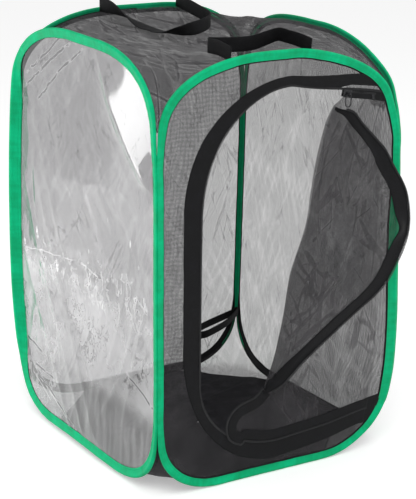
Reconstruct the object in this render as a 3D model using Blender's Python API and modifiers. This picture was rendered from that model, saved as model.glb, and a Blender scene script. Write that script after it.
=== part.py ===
"""Pop-up insect cage with four sprung hoops, a clear window and a zipped mesh door.

The cage stands on the ground with its middle over the origin, +Z up, in metres.
Four flat spring-steel hoops, each sewn into a bias binding, carry one panel each:
the door panel at -Y, the clear window at -X, and plain mesh at +X and +Y. The
bindings meet along the straight uprights of the hoops, so the cage folds flat like
a parallelogram. The door is unzipped and its corner is folded back over itself.
"""

import math

import bmesh
import bpy
from mathutils import Matrix, Vector

# Cage
cage_width = 0.400
cage_height = 0.600
sewing_gap = 0.0003
sheet_thickness = 0.0008

# Hoop corners, on the middle of the binding: reach as a share of the cage's width, rise
# as a share of its height. The top corner at the front right hangs lower than the others.
top_corner_reach_share = 0.390
top_corner_drop_share = 0.1467
low_corner_reach_share = 0.465
low_corner_drop_share = 0.2400
bottom_corner_reach_share = 0.250
bottom_corner_rise_share = 0.1233
corner_roundness_share = 2.2
low_corner_roundness_share = 1.8
corner_steps = 8
upright_steps = 3

# Bias binding round the hoop
binding_width = 0.013
binding_thickness = 0.0068
binding_lip_thickness = 0.0034
binding_pocket_thickness = 0.0052
binding_pocket_width = 0.0050
binding_wall = 0.0009

# Spring-steel strip and its crimped sleeve
strip_width = 0.0030
strip_thickness = 0.0009
sleeve_length = 0.028
sleeve_wall = 0.0005
sleeve_height_share = 0.483

# Sheets sewn into the bindings
sheet_inset = 0.0020
top_sag = 0.014

# Door opening, seen from the front: margins to the sides and top of the cage, and the
# heights of its rounded corners as shares of the cage's height
door_side_margin = 0.040
door_crown_margin = 0.198
door_top_margin = 0.036
door_top_right_margin = 0.052
door_bottom = 0.021
door_bottom_right = 0.038
door_top_corner_share = 0.2917
door_bottom_corner_share = 0.3000
door_corner_steps = 12
frame_tape_side = 0.029
frame_tape_top = 0.015
frame_tape_top_right = 0.028
frame_tape_bottom = 0.028
frame_tape_bottom_right = 0.024
inner_top_corner_share = 0.2833
inner_bottom_corner_share = 0.1750
tape_thickness = 0.0014

# Zip chain and the tapes of the door leaf
coil_width = 0.0026
coil_thickness = 0.0030
coil_parting = 0.0014
door_tape_width = 0.018
door_seam_gap = 0.0006
end_stop_length = 0.004
chain_end_margin = 0.059
coil_crease_margin = 0.004

# Crease on which the corner of the door is folded back, as shares of the cage's size
crease_low_share = 1 / 6
crease_high_share = 5 / 6
crease_low_x_share = -0.090
crease_high_x_share = 0.135
fold_angle = math.radians(160.0)

# Zip slider and its pull
slider_x_share = 0.235
slider_length = 0.013
slider_width = 0.0104
slider_plate = 0.0010
slider_clearance = 0.0004
slider_blade = 0.0006
slider_blade_length = 0.0030
bail_wire = 0.0007
bail_reach = 0.0040
bail_spread = 0.0028
bail_steps = 8
pull_wire = 0.0008
pull_width = 0.0090
pull_length = 0.0180
pull_steps = 16

# Webbing carrying handles
strap_width = 0.020
strap_thickness = 0.0012
strap_steps = 44

# Each point of a strap: across and along the roof, its rise over the roof as a share
# of the strap's width, and its lean from standing on its edge as a share of a quarter turn
front_strap_shares = (
    (-0.475, -1.00, 0.00, 0.0),
    (-0.450, -0.80, 0.05, 0.0),
    (-0.432, -0.66, 0.05, 0.0),
    (-0.400, -0.62, 0.05, 0.0),
    (-0.330, -0.66, 0.05, 0.0),
    (-0.220, -0.70, 0.05, 0.0),
    (-0.110, -0.72, 0.12, 0.0),
    (0.000, -0.735, 0.40, 0.1),
    (0.075, -0.75, 0.58, 0.2),
    (0.125, -0.78, 0.42, 0.2),
    (0.165, -0.85, 0.20, 0.1),
    (0.170, -1.00, 0.00, 0.0),
)
back_strap_shares = (
    (-0.330, 1.00, 0.00, 0.0),
    (-0.312, 0.93, 0.05, 0.0),
    (-0.285, 0.86, 0.10, 0.2),
    (-0.235, 0.79, 0.10, 0.6),
    (-0.190, 0.70, 0.08, 1.0),
    (-0.160, 0.58, 0.08, 1.0),
    (-0.145, 0.46, 0.08, 0.9),
    (-0.095, 0.41, 0.08, 0.6),
    (-0.020, 0.40, 0.08, 0.5),
    (0.080, 0.43, 0.08, 0.2),
    (0.180, 0.49, 0.08, 0.0),
    (0.290, 0.56, 0.08, 0.0),
    (0.370, 0.66, 0.08, 0.0),
    (0.400, 0.80, 0.05, 0.0),
    (0.420, 1.00, 0.00, 0.0),
)

# Elastic storage loop at the rear corner
elastic_width = 0.012
elastic_thickness = 0.0012
elastic_steps = 26
elastic_height = 0.088

# Each point of the loop, across and along the floor
elastic_shares = (
    (1.00, 0.985),
    (0.90, 0.935),
    (0.70, 0.855),
    (0.50, 0.765),
    (0.385, 0.690),
    (0.370, 0.625),
    (0.430, 0.605),
    (0.560, 0.655),
    (0.750, 0.760),
    (0.900, 0.880),
    (1.00, 0.970),
)

# Colours
binding_green = (0.010, 0.480, 0.240, 1.0)
tape_black = (0.008, 0.008, 0.010, 1.0)
mesh_grey = (0.090, 0.085, 0.090, 1.0)
floor_black = (0.022, 0.020, 0.024, 1.0)
film_clear = (0.600, 0.590, 0.610, 1.0)
steel_grey = (0.420, 0.420, 0.430, 1.0)

half_width = cage_width / 2
sleeve_height = cage_height * sleeve_height_share
door_left = -half_width + door_side_margin
door_crown = half_width - door_crown_margin
door_right = half_width - door_side_margin
door_top = cage_height - door_top_margin
door_top_right = cage_height - door_top_right_margin
chain_end = half_width - chain_end_margin
crease_low = cage_height * crease_low_share
crease_high = cage_height * crease_high_share
crease_low_x = cage_width * crease_low_x_share
crease_high_x = cage_width * crease_high_x_share
slider_x = cage_width * slider_x_share
hinge_inset = binding_thickness / 2 + sewing_gap
hoop_inset = hinge_inset + binding_width / 2 + sewing_gap
hoop_half_span = half_width - hoop_inset
hoop_bottom = binding_width / 2
hoop_top = cage_height - binding_width / 2
binding_slot = sheet_thickness + sewing_gap * 2
binding_bevel = binding_wall * 2
sheet_plane = half_width - binding_thickness / 2 - sewing_gap - sheet_thickness / 2
coil_far = coil_parting / 2 + coil_width
tape_near = coil_far + sewing_gap
leaf_edge = tape_near + door_tape_width + sewing_gap
end_stop_room = end_stop_length + sewing_gap * 2
crease_standoff = tape_thickness / 2 + sewing_gap


def clear_scene():
    """Remove every object, so the model starts from nothing."""
    for item in list(bpy.data.objects):
        bpy.data.objects.remove(item, do_unlink=True)


def new_collection(name):
    collection = bpy.data.collections.new(name)
    bpy.context.scene.collection.children.link(collection)
    return collection


clear_scene()
cage_parts = new_collection("insect_cage")
guides = new_collection("guides")


def material(name, colour, roughness, metallic=0.0):
    surface = bpy.data.materials.new(name)
    surface.use_nodes = True
    shader = surface.node_tree.nodes["Principled BSDF"]
    shader.inputs["Base Color"].default_value = colour
    shader.inputs["Roughness"].default_value = roughness
    shader.inputs["Metallic"].default_value = metallic
    return surface


green_binding = material("green_binding", binding_green, 0.7)
black_tape = material("black_tape", tape_black, 0.75)
grey_mesh = material("grey_mesh", mesh_grey, 0.85)
black_floor = material("black_floor", floor_black, 0.7)
clear_film = material("clear_film", film_clear, 0.15)
bare_steel = material("bare_steel", steel_grey, 0.35, 0.9)
black_metal = material("black_metal", tape_black, 0.4, 0.6)


def add_part(name, data, surface, transform=None):
    """Put mesh or curve data in the scene as one named sub-part."""
    part = bpy.data.objects.new(name, data)
    cage_parts.objects.link(part)
    data.materials.append(surface)
    if transform is not None:
        part.matrix_world = transform
    return part


class Corner:
    """One rounded corner of a hoop: how far it reaches, how far it drops and how round it is."""

    def __init__(self, reach_share, rise_share, roundness):
        self.reach = cage_width * reach_share
        self.rise = cage_height * rise_share
        self.roundness = roundness

    def arc(self):
        """Points from the upright to the level run."""
        points = []
        for step in range(corner_steps + 1):
            turn = math.pi / 2 * step / corner_steps
            across = max(math.cos(turn), 0) ** (2 / self.roundness)
            along = math.sin(turn) ** (2 / self.roundness)
            points.append((self.reach * across, self.rise * along))
        return points

    def level(self):
        """Distance from the middle of the hoop to the start of the corner."""
        return hoop_half_span - self.reach

    def drop(self, past):
        """Drop of the hoop's middle line at a distance past the start of the corner."""
        share = min(max(past / self.reach, 0), 1)
        return self.rise * (1 - (1 - share**self.roundness) ** (1 / self.roundness))


top_corner = Corner(top_corner_reach_share, top_corner_drop_share, corner_roundness_share)
low_corner = Corner(low_corner_reach_share, low_corner_drop_share, low_corner_roundness_share)
bottom_corner = Corner(bottom_corner_reach_share, bottom_corner_rise_share, corner_roundness_share)


def hoop_side(corner):
    """One side of a hoop as (across, height) points, from its foot to its top."""
    top = [
        (corner.level() + across, hoop_top - corner.rise + along)
        for across, along in corner.arc()
    ]
    bottom = [
        (bottom_corner.level() + across, hoop_bottom + bottom_corner.rise - along)
        for across, along in bottom_corner.arc()
    ]
    lowest, highest = bottom[0][1], top[0][1]
    upright = [
        (hoop_half_span, lowest + (highest - lowest) * step / upright_steps)
        for step in range(1, upright_steps)
    ]
    return bottom[::-1] + upright + top


def hoop_outline(panel):
    """Closed outline of a hoop as (across, height) points, counterclockwise."""
    right_side = hoop_side(low_corner if panel == "front" else top_corner)
    left_side = hoop_side(low_corner if panel == "right" else top_corner)
    return right_side + [(-across, height) for across, height in reversed(left_side)]


def inset_outline(points, amount):
    """Offset a closed counterclockwise outline inwards by an amount."""
    moved = []
    count = len(points)
    for index in range(count):
        before = Vector(points[index - 1])
        here = Vector(points[index])
        after = Vector(points[(index + 1) % count])
        first = (here - before).normalized()
        second = (after - here).normalized()
        inward = Vector((-first.y - second.y, first.x + second.x)).normalized()
        slant = max(inward.dot(Vector((-first.y, first.x))), 0.5)
        moved.append(tuple(here + inward * amount / slant))
    return moved


def panel_frame(name):
    """World transform of a panel: local X across, Y up and Z outwards."""
    spin = {"front": 0, "right": 1, "back": 2, "left": 3}[name]
    stand = Matrix.Rotation(math.pi / 2, 4, "X")
    return (
        Matrix.Rotation(math.pi / 2 * spin, 4, "Z")
        @ Matrix.Translation((0, -half_width, 0))
        @ stand
    )


def flat_shape(name, outlines, thickness):
    """A 2D curve filled between its outlines, with the given thickness."""
    curve = bpy.data.curves.new(name, "CURVE")
    curve.dimensions = "2D"
    curve.fill_mode = "BOTH"
    curve.extrude = thickness / 2
    for outline in outlines:
        spline = curve.splines.new("POLY")
        spline.points.add(len(outline) - 1)
        for point, place in zip(spline.points, outline):
            point.co = (place[0], place[1], 0, 1)
        spline.use_cyclic_u = True
    return curve


def guide_profile(name, points):
    """A closed section, kept as a guide, that a curve is swept with."""
    curve = bpy.data.curves.new(name, "CURVE")
    curve.dimensions = "2D"
    curve.fill_mode = "NONE"
    spline = curve.splines.new("POLY")
    spline.points.add(len(points) - 1)
    for point, place in zip(spline.points, points):
        point.co = (place[0], place[1], 0, 1)
    spline.use_cyclic_u = True
    guide = bpy.data.objects.new(name, curve)
    guides.objects.link(guide)
    guide.hide_render = True
    guide.display_type = "WIRE"
    return guide


def swept_loop(name, outline, profile):
    """A closed flat loop swept with a section."""
    curve = bpy.data.curves.new(name, "CURVE")
    curve.dimensions = "2D"
    curve.fill_mode = "NONE"
    curve.bevel_mode = "OBJECT"
    curve.bevel_object = profile
    spline = curve.splines.new("POLY")
    spline.points.add(len(outline) - 1)
    for point, place in zip(spline.points, outline):
        point.co = (place[0], place[1], 0, 1)
    spline.use_cyclic_u = True
    return curve


def binding_section():
    """Section of the binding: a pocket round the strip and two lips on the sheet."""
    edge = binding_width / 2
    outside = binding_thickness / 2
    lip = binding_lip_thickness / 2
    slot = binding_slot / 2
    pocket = binding_pocket_thickness / 2
    pocket_far = -edge + binding_wall
    pocket_near = pocket_far + binding_pocket_width
    outer = [
        (edge, -lip),
        (pocket_near, -outside),
        (-edge + binding_bevel, -outside),
        (-edge, -lip),
        (-edge, lip),
        (-edge + binding_bevel, outside),
        (pocket_near, outside),
        (edge, lip),
    ]
    inner = [
        (edge, slot),
        (pocket_near + binding_wall, slot),
        (pocket_near - binding_wall, pocket),
        (pocket_far + binding_wall, pocket),
        (pocket_far, slot),
        (pocket_far, -slot),
        (pocket_far + binding_wall, -pocket),
        (pocket_near - binding_wall, -pocket),
        (pocket_near + binding_wall, -slot),
        (edge, -slot),
    ]
    return outer + inner


def rectangle(width, height, centre_x=0.0, centre_y=0.0):
    return [
        (centre_x - width / 2, centre_y - height / 2),
        (centre_x + width / 2, centre_y - height / 2),
        (centre_x + width / 2, centre_y + height / 2),
        (centre_x - width / 2, centre_y + height / 2),
    ]


strip_offset = -binding_width / 2 + binding_wall + binding_pocket_width / 2


def add_hoop(panel, outline, binding_profile, strip_profile):
    """One hoop: the binding, the steel strip in it and the sleeve that joins the strip."""
    frame = panel_frame(panel)
    add_part(f"{panel}_binding", swept_loop(f"{panel}_binding", outline, binding_profile), green_binding, frame)
    strip_line = inset_outline(outline, strip_offset)
    add_part(f"{panel}_strip", swept_loop(f"{panel}_strip", strip_line, strip_profile), bare_steel, frame)
    add_sleeve(panel, frame)


def add_sleeve(panel, frame):
    """A crimped sleeve round the strip, open at both ends."""
    inside_width = strip_width + sewing_gap * 2
    inside_depth = strip_thickness + sewing_gap * 2
    outer = rectangle(inside_depth + sleeve_wall * 2, inside_width + sleeve_wall * 2)
    inner = rectangle(inside_depth, inside_width)
    data = flat_shape(f"{panel}_sleeve", [outer, inner], sleeve_length)
    lift = Matrix.Translation((hoop_half_span - strip_offset, sleeve_height, 0))
    upright = Matrix.Rotation(-math.pi / 2, 4, "X")
    add_part(f"{panel}_sleeve", data, bare_steel, frame @ lift @ upright)


def door_outline(left, top, top_right, bottom, bottom_right, top_corner, bottom_corner, right):
    """A door outline, straight at the right and rounded at the left, counterclockwise."""
    points = [(right, top_right)]
    for step in range(door_corner_steps + 1):
        turn = math.pi / 2 * (1 + step / door_corner_steps)
        across = door_crown + (door_crown - left) * math.cos(turn)
        points.append((across, top - top_corner + top_corner * math.sin(turn)))
    for step in range(door_corner_steps + 1):
        turn = math.pi + math.pi / 2 * step / door_corner_steps
        across = door_crown + (door_crown - left) * math.cos(turn)
        points.append((across, bottom + bottom_corner + bottom_corner * math.sin(turn)))
    points.append((right, bottom_right))
    return points


def frame_outer():
    return door_outline(
        door_left, door_top, door_top_right, door_bottom, door_bottom_right,
        cage_height * door_top_corner_share, cage_height * door_bottom_corner_share, door_right,
    )


def frame_inner():
    return door_outline(
        door_left + frame_tape_side,
        door_top - frame_tape_top,
        door_top_right - frame_tape_top_right,
        door_bottom + frame_tape_bottom,
        door_bottom_right + frame_tape_bottom_right,
        cage_height * inner_top_corner_share,
        cage_height * inner_bottom_corner_share,
        door_right,
    )


def open_band(line, near, far):
    """The band between two offsets of an open line, with its ends cut square to X."""
    closed = line
    inner = inset_outline(closed, near)
    outer = inset_outline(closed, far)
    inner[0] = (line[0][0], line[0][1] - near)
    outer[0] = (line[0][0], line[0][1] - far)
    inner[-1] = (line[-1][0], line[-1][1] + near)
    outer[-1] = (line[-1][0], line[-1][1] + far)
    return inner + outer[::-1]


def cut_height(line, across):
    """Height of the upper edge of a door line at a place across it."""
    (right_x, right_z), (crown_x, crown_z) = line[0], line[1]
    share = (across - crown_x) / (right_x - crown_x)
    return crown_z + (right_z - crown_z) * share


def crease_x(height):
    share = (height - crease_low) / (crease_high - crease_low)
    return crease_low_x + (crease_high_x - crease_low_x) * share


def side_of_crease(point):
    """Distance to the right of the crease, negative on the folded corner."""
    lean = (crease_high_x - crease_low_x) / (crease_high - crease_low)
    return (point[0] - crease_x(point[1])) / math.hypot(1, lean)


def clip_outline(points, inside):
    """Cut a closed outline where a linear test function turns negative."""
    kept = []
    count = len(points)
    for index in range(count):
        here = points[index]
        after = points[(index + 1) % count]
        first = inside(here)
        second = inside(after)
        if first >= 0:
            kept.append(here)
        if first * second < 0:
            share = first / (first - second)
            kept.append(tuple(Vector(here).lerp(Vector(after), share)))
    return kept


def keep_inside(points, hoop):
    """Cut a closed outline where it leaves a hoop's outline, which bulges everywhere."""
    for index in range(len(hoop)):
        start = Vector(hoop[index - 1])
        along = Vector(hoop[index]) - start
        points = clip_outline(points, lambda point: along.cross(Vector(point) - start))
    return points


def right_of_crease(margin):
    return lambda point: side_of_crease(point) - margin


def left_of_crease(margin):
    return lambda point: -side_of_crease(point) - margin


def left_of(limit):
    return lambda point: limit - point[0]


def chain_strip(chain, left, right, high, low):
    """A strip along the top of the zip chain, between two drops below its line."""
    return [
        (right, cut_height(chain, right) - high),
        (left, cut_height(chain, left) - high),
        (left, cut_height(chain, left) - low),
        (right, cut_height(chain, right) - low),
    ]


def add_flat(name, outlines, thickness, surface, transform):
    add_part(name, flat_shape(name, outlines, thickness), surface, transform)


def add_front_panel(frame, outline):
    """The mesh of the door panel, with the fixed half of the zip round the opening."""
    edge = inset_outline(outline, sheet_inset)
    within = inset_outline(outline, binding_width / 2 + sewing_gap * 2)
    hole = inset_outline(keep_inside(frame_outer(), within), -sewing_gap)
    add_flat("front_mesh", [edge, hole], sheet_thickness, grey_mesh, frame)

    chain = frame_inner()
    fixed_edge = open_band(chain, -tape_near, -tape_near)[: len(chain)]
    tape = keep_inside(frame_outer() + fixed_edge[::-1], within)
    add_flat("door_frame_tape", [tape], tape_thickness, black_tape, frame)
    coil = clip_outline(open_band(chain, -coil_far, -coil_parting / 2), left_of(chain_end - end_stop_room))
    add_flat("door_frame_coil", [coil], coil_thickness, black_tape, frame)

    closed_left = slider_x - slider_length / 2 - end_stop_length
    coil = chain_strip(chain, closed_left, chain_end - end_stop_room, coil_parting / 2, coil_far)
    add_flat("closed_coil", [coil], coil_thickness, black_tape, frame)
    tape = chain_strip(chain, closed_left, door_right, tape_near, tape_near + door_tape_width)
    add_flat("closed_tape", [keep_inside(tape, within)], tape_thickness, black_tape, frame)
    stop = chain_strip(chain, chain_end - end_stop_length, chain_end, -coil_far, coil_far)
    add_flat("zip_end_stop", [stop], coil_thickness, black_metal, frame)


def add_door(frame):
    """The door leaf: the part that hangs flat, and the corner folded back over it."""
    chain = frame_inner()
    leaf = inset_outline(chain, leaf_edge)
    leaf[0] = (door_right, leaf[1][1] + (chain[0][1] - chain[1][1]))
    leaf[-1] = (door_right, leaf[-2][1] + (chain[-1][1] - chain[-2][1]))
    tape = open_band(chain, tape_near, tape_near + door_tape_width)
    coil = open_band(chain, coil_parting / 2, coil_far)
    seam = door_seam_gap / 2
    half_height = (crease_low + crease_high) / 2
    bottom_run = lambda point: half_height - point[1]
    top_edge = tape_near + door_tape_width + sewing_gap * 2
    below_closed_tape = lambda point: cut_height(chain, point[0]) - top_edge - point[1]

    leaf_right = clip_outline(clip_outline(leaf, right_of_crease(seam)), below_closed_tape)
    leaf_right = clip_outline(leaf_right, left_of(door_right - sewing_gap))
    add_flat("door_mesh", [leaf_right], sheet_thickness, grey_mesh, frame)
    tape_right = clip_outline(clip_outline(tape, bottom_run), right_of_crease(seam))
    tape_right = clip_outline(tape_right, left_of(door_right - sewing_gap))
    add_flat("door_tape", [tape_right], tape_thickness, black_tape, frame)
    coil_right = clip_outline(clip_outline(coil, bottom_run), right_of_crease(coil_crease_margin))
    coil_right = clip_outline(coil_right, left_of(door_right - end_stop_room))
    add_flat("door_coil", [coil_right], coil_thickness, black_tape, frame)

    folded = fold_transform() @ frame
    add_flat("corner_mesh", [clip_outline(leaf, left_of_crease(seam))], sheet_thickness, grey_mesh, folded)
    add_flat("corner_tape", [clip_outline(tape, left_of_crease(seam))], tape_thickness, black_tape, folded)
    corner_coil = clip_outline(coil, left_of_crease(coil_crease_margin))
    add_flat("corner_coil", [corner_coil], coil_thickness, black_tape, folded)


def fold_transform():
    """Turn that folds the corner of the door back over its crease."""
    low = Vector((crease_low_x, -half_width - crease_standoff, crease_low))
    high = Vector((crease_high_x, -half_width - crease_standoff, crease_high))
    turn = Matrix.Rotation(fold_angle, 4, (high - low).normalized())
    return Matrix.Translation(low) @ turn @ Matrix.Translation(-low)


def box_mesh(name, size, centre):
    """A plain box with its middle at a place."""
    mesh = bpy.data.meshes.new(name)
    shape = bmesh.new()
    bmesh.ops.create_cube(shape, size=1)
    bmesh.ops.scale(shape, vec=size, verts=shape.verts)
    bmesh.ops.translate(shape, vec=centre, verts=shape.verts)
    shape.to_mesh(mesh)
    shape.free()
    return mesh


def wire_curve(name, points, radius, cyclic):
    """A round wire through points."""
    curve = bpy.data.curves.new(name, "CURVE")
    curve.dimensions = "3D"
    curve.bevel_depth = radius
    curve.bevel_resolution = 2
    curve.use_fill_caps = not cyclic
    spline = curve.splines.new("POLY")
    spline.points.add(len(points) - 1)
    for point, place in zip(spline.points, points):
        point.co = (*place, 1)
    spline.use_cyclic_u = cyclic
    return curve


def meshed_curve(name, curve):
    """The mesh of a curve, with its caps welded, so that it can be joined."""
    source = bpy.data.objects.new(name, curve)
    guides.objects.link(source)
    evaluated = source.evaluated_get(bpy.context.evaluated_depsgraph_get())
    mesh = bpy.data.meshes.new_from_object(evaluated)
    bpy.data.objects.remove(source)
    shape = bmesh.new()
    shape.from_mesh(mesh)
    bmesh.ops.remove_doubles(shape, verts=shape.verts, dist=sewing_gap / 100)
    shape.to_mesh(mesh)
    shape.free()
    return mesh


def join_guides(part, meshes):
    """Join guide solids to a part with exact unions."""
    for mesh in meshes:
        guide = bpy.data.objects.new(mesh.name, mesh)
        guides.objects.link(guide)
        guide.matrix_world = part.matrix_world
        guide.hide_render = True
        guide.display_type = "WIRE"
        union = part.modifiers.new(mesh.name, "BOOLEAN")
        union.operation = "UNION"
        union.solver = "EXACT"
        union.object = guide


def add_slider():
    """The zip slider on the chain, with a bail that carries its pull."""
    chain = frame_inner()
    height = cut_height(chain, slider_x)
    slope = math.atan2(cut_height(chain, door_crown) - cut_height(chain, door_right), door_right - door_crown)
    place = Matrix.Translation((slider_x, -half_width, height)) @ Matrix.Rotation(slope, 4, "Y")
    plate_y = coil_thickness / 2 + slider_clearance + slider_plate / 2
    plate = (slider_length, slider_plate, slider_width)
    front_plate = box_mesh("slider_body", plate, (0, -plate_y, 0))
    rear_plate = box_mesh("slider_rear_plate", plate, (0, plate_y, 0))
    blade_x = slider_blade_length / 2 - slider_length / 2
    blade = box_mesh("slider_blade", (slider_blade_length, plate_y * 2, slider_blade), (blade_x, 0, 0))
    arch = []
    for step in range(bail_steps + 1):
        turn = math.pi * step / bail_steps
        arch.append((0, -plate_y - bail_reach * math.sin(turn), bail_spread * math.cos(turn)))
    bail = meshed_curve("slider_bail", wire_curve("slider_bail", arch, bail_wire, False))
    body = add_part("slider_body", front_plate, black_metal, place)
    join_guides(body, [rear_plate, blade, bail])

    hole_out = bail_reach - bail_wire - pull_wire - sewing_gap
    radius = pull_width / 2
    ring = []
    for step in range(pull_steps):
        turn = math.tau * (step - 1 / 2) / pull_steps
        drop = pull_length - pull_width if math.sin(turn) < 0 else 0
        ring.append((radius * math.cos(turn), 0, radius * math.sin(turn) - radius - drop))
    hang = Matrix.Translation((slider_x, -half_width - plate_y - hole_out, height))
    add_part("slider_pull", wire_curve("slider_pull", ring, pull_wire, True), black_metal, hang)


def roof_height(x, y):
    """Height of the roof: hung between the hoops' tops, with a sag in the middle."""
    corner = low_corner if x > 0 > y else top_corner
    past = abs(x) + abs(y) - sheet_plane - corner.level()
    sag = top_sag * (1 - (x / sheet_plane) ** 2) * (1 - (y / sheet_plane) ** 2)
    return hoop_top - corner.drop(past) - sag


def grid_part(name, columns, rows, place_at, surface, turn=None):
    """A soft sheet: a grid whose points a function places, thickened about its middle."""
    mesh = bpy.data.meshes.new(name)
    shape = bmesh.new()
    bmesh.ops.create_grid(shape, x_segments=columns, y_segments=rows, size=1)
    for point in shape.verts:
        point.co = place_at(round((point.co.x + 1) * columns / 2), round((point.co.y + 1) * rows / 2))
    shape.to_mesh(mesh)
    shape.free()
    part = add_part(name, mesh, surface, turn)
    solid = part.modifiers.new("thickness", "SOLIDIFY")
    solid.thickness = sheet_thickness
    solid.offset = 0


def add_roof():
    """The mesh roof, with grid lines at the same places as the points of the hoops."""
    even, low = (
        [corner.level() + across for across, along in reversed(corner.arc())] + [sheet_plane]
        for corner in (top_corner, low_corner)
    )
    columns = [-x for x in reversed(even)] + [0] + low
    rows = [-y for y in reversed(low)] + [0] + even
    last = len(columns) - 1
    grid_part(
        "roof_mesh", last, last,
        lambda column, row: (columns[column], rows[row], roof_height(columns[column], rows[row])),
        grey_mesh,
    )


def add_floor():
    """The floor and the four mesh gussets that close the hoops' rounded corners."""
    level = bottom_corner.level()
    bevel_share = sheet_thickness / binding_bevel
    floor_edge = (
        half_width - binding_lip_thickness / 2 - sewing_gap
        - (binding_thickness - binding_lip_thickness) / 2 * bevel_share
    )
    chamfer = level
    quarter = [(floor_edge, chamfer), (chamfer, floor_edge)]
    floor = []
    for turns in range(4):
        spin = Matrix.Rotation(math.pi / 2 * turns, 2)
        floor += [tuple(spin @ Vector(point)) for point in quarter]
    lift = Matrix.Translation((0, 0, sheet_thickness / 2))
    add_flat("floor_panel", [floor], sheet_thickness, black_floor, lift)

    lap = binding_lip_thickness
    rows = [(chamfer - lap, sheet_thickness * 2 + sewing_gap)]
    rows += [
        (level + across, hoop_bottom + bottom_corner.drop(across))
        for across, along in reversed(bottom_corner.arc()[:-1])
    ]

    def gusset_point(column, row):
        along, height = rows[row]
        if column == 0:
            return (sheet_plane, along, height)
        return (along, sheet_plane, height)

    for turns, corner in enumerate(("back_right", "back_left", "front_left", "front_right")):
        turn = Matrix.Rotation(math.pi / 2 * turns, 4, "Z")
        grid_part(f"{corner}_gusset", 1, len(rows) - 1, gusset_point, grey_mesh, turn)


def smooth_line(points, steps):
    """Evenly spaced points on a smooth curve through given points of any dimension."""
    fine = []
    count = len(points)
    for index in range(count - 1):
        p0, p1, p2, p3 = (
            Vector(points[min(max(index + offset, 0), count - 1)]) for offset in (-1, 0, 1, 2)
        )
        for step in range(steps):
            t = step / steps
            fine.append(
                (p1 * 2 + (p2 - p0) * t + (p0 * 2 - p1 * 5 + p2 * 4 - p3) * t**2
                 + (p1 * 3 - p0 - p2 * 3 + p3) * t**3) / 2
            )
    fine.append(Vector(points[-1]))
    lengths = [0]
    for before, after in zip(fine, fine[1:]):
        lengths.append(lengths[-1] + (after.xyz - before.xyz).length)
    even = []
    index = 0
    for step in range(steps + 1):
        wanted = lengths[-1] * step / steps
        while index < len(fine) - 2 and lengths[index + 1] < wanted:
            index += 1
        share = (wanted - lengths[index]) / (lengths[index + 1] - lengths[index])
        even.append(fine[index].lerp(fine[index + 1], min(share, 1)))
    return even


def band_curve(name, line, width, thickness):
    """A flat band along (x, y, z, lean) points, standing on its edge where its lean is 0."""
    curve = bpy.data.curves.new(name, "CURVE")
    curve.dimensions = "3D"
    curve.twist_mode = "Z_UP"
    curve.bevel_mode = "OBJECT"
    curve.bevel_object = guide_profile(f"{name}_section", rectangle(thickness, width)[::-1])
    curve.use_fill_caps = True
    spline = curve.splines.new("POLY")
    spline.points.add(len(line) - 1)
    for point, place in zip(spline.points, line):
        point.co = (*place.xyz, 1)
        point.tilt = place.w
    return curve


def add_strap(name, shares):
    """A webbing handle that lies on the roof, sewn at both ends to the top of a hoop."""
    points = []
    for across, along, rise, lean in shares:
        x = across * sheet_plane
        y = along * sheet_plane
        tilt = lean * math.pi / 2
        stand = strap_width / 2 * math.cos(tilt) + strap_thickness / 2 * math.sin(tilt)
        z = roof_height(x, y) + sheet_thickness / 2 + sewing_gap + stand + rise * strap_width
        points.append((x, y, z, tilt))
    line = smooth_line(points, strap_steps)
    add_part(name, band_curve(name, line, strap_width, strap_thickness), black_tape)


def add_storage_loop():
    """An elastic loop sewn into the rear corner, that holds the folded cage together."""
    points = [(x * sheet_plane, y * sheet_plane, elastic_height, 0) for x, y in elastic_shares]
    line = smooth_line(points, elastic_steps)
    add_part("storage_loop", band_curve("storage_loop", line, elastic_width, elastic_thickness), black_tape)


def build_cage():
    binding_profile = guide_profile("binding_section", binding_section())
    strip_profile = guide_profile("strip_section", rectangle(strip_thickness, strip_width)[::-1])
    for panel in ("front", "left", "right", "back"):
        add_hoop(panel, hoop_outline(panel), binding_profile, strip_profile)
    sheets = (("left", "window", clear_film), ("right", "mesh", grey_mesh), ("back", "mesh", grey_mesh))
    for panel, sheet, surface in sheets:
        edge = inset_outline(hoop_outline(panel), sheet_inset)
        add_flat(f"{panel}_{sheet}", [edge], sheet_thickness, surface, panel_frame(panel))
    front = panel_frame("front")
    add_front_panel(front, hoop_outline("front"))
    add_door(front)
    add_slider()
    add_roof()
    add_floor()
    add_strap("front_handle", front_strap_shares)
    add_strap("back_handle", back_strap_shares)
    add_storage_loop()


build_cage()
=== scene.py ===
"""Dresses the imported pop-up insect cage: cloth bindings, nets, film, zip, straps and folds.

Every sub-assembly is a class that holds its sizes and builds its own pieces. The cage
stands on the ground with its middle over the origin, +Z up, in metres.
"""

from __future__ import annotations

import logging
import math
from dataclasses import dataclass, field
from enum import Enum
from typing import Sequence

import bpy
import numpy as np
from mathutils import Matrix, Vector

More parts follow.
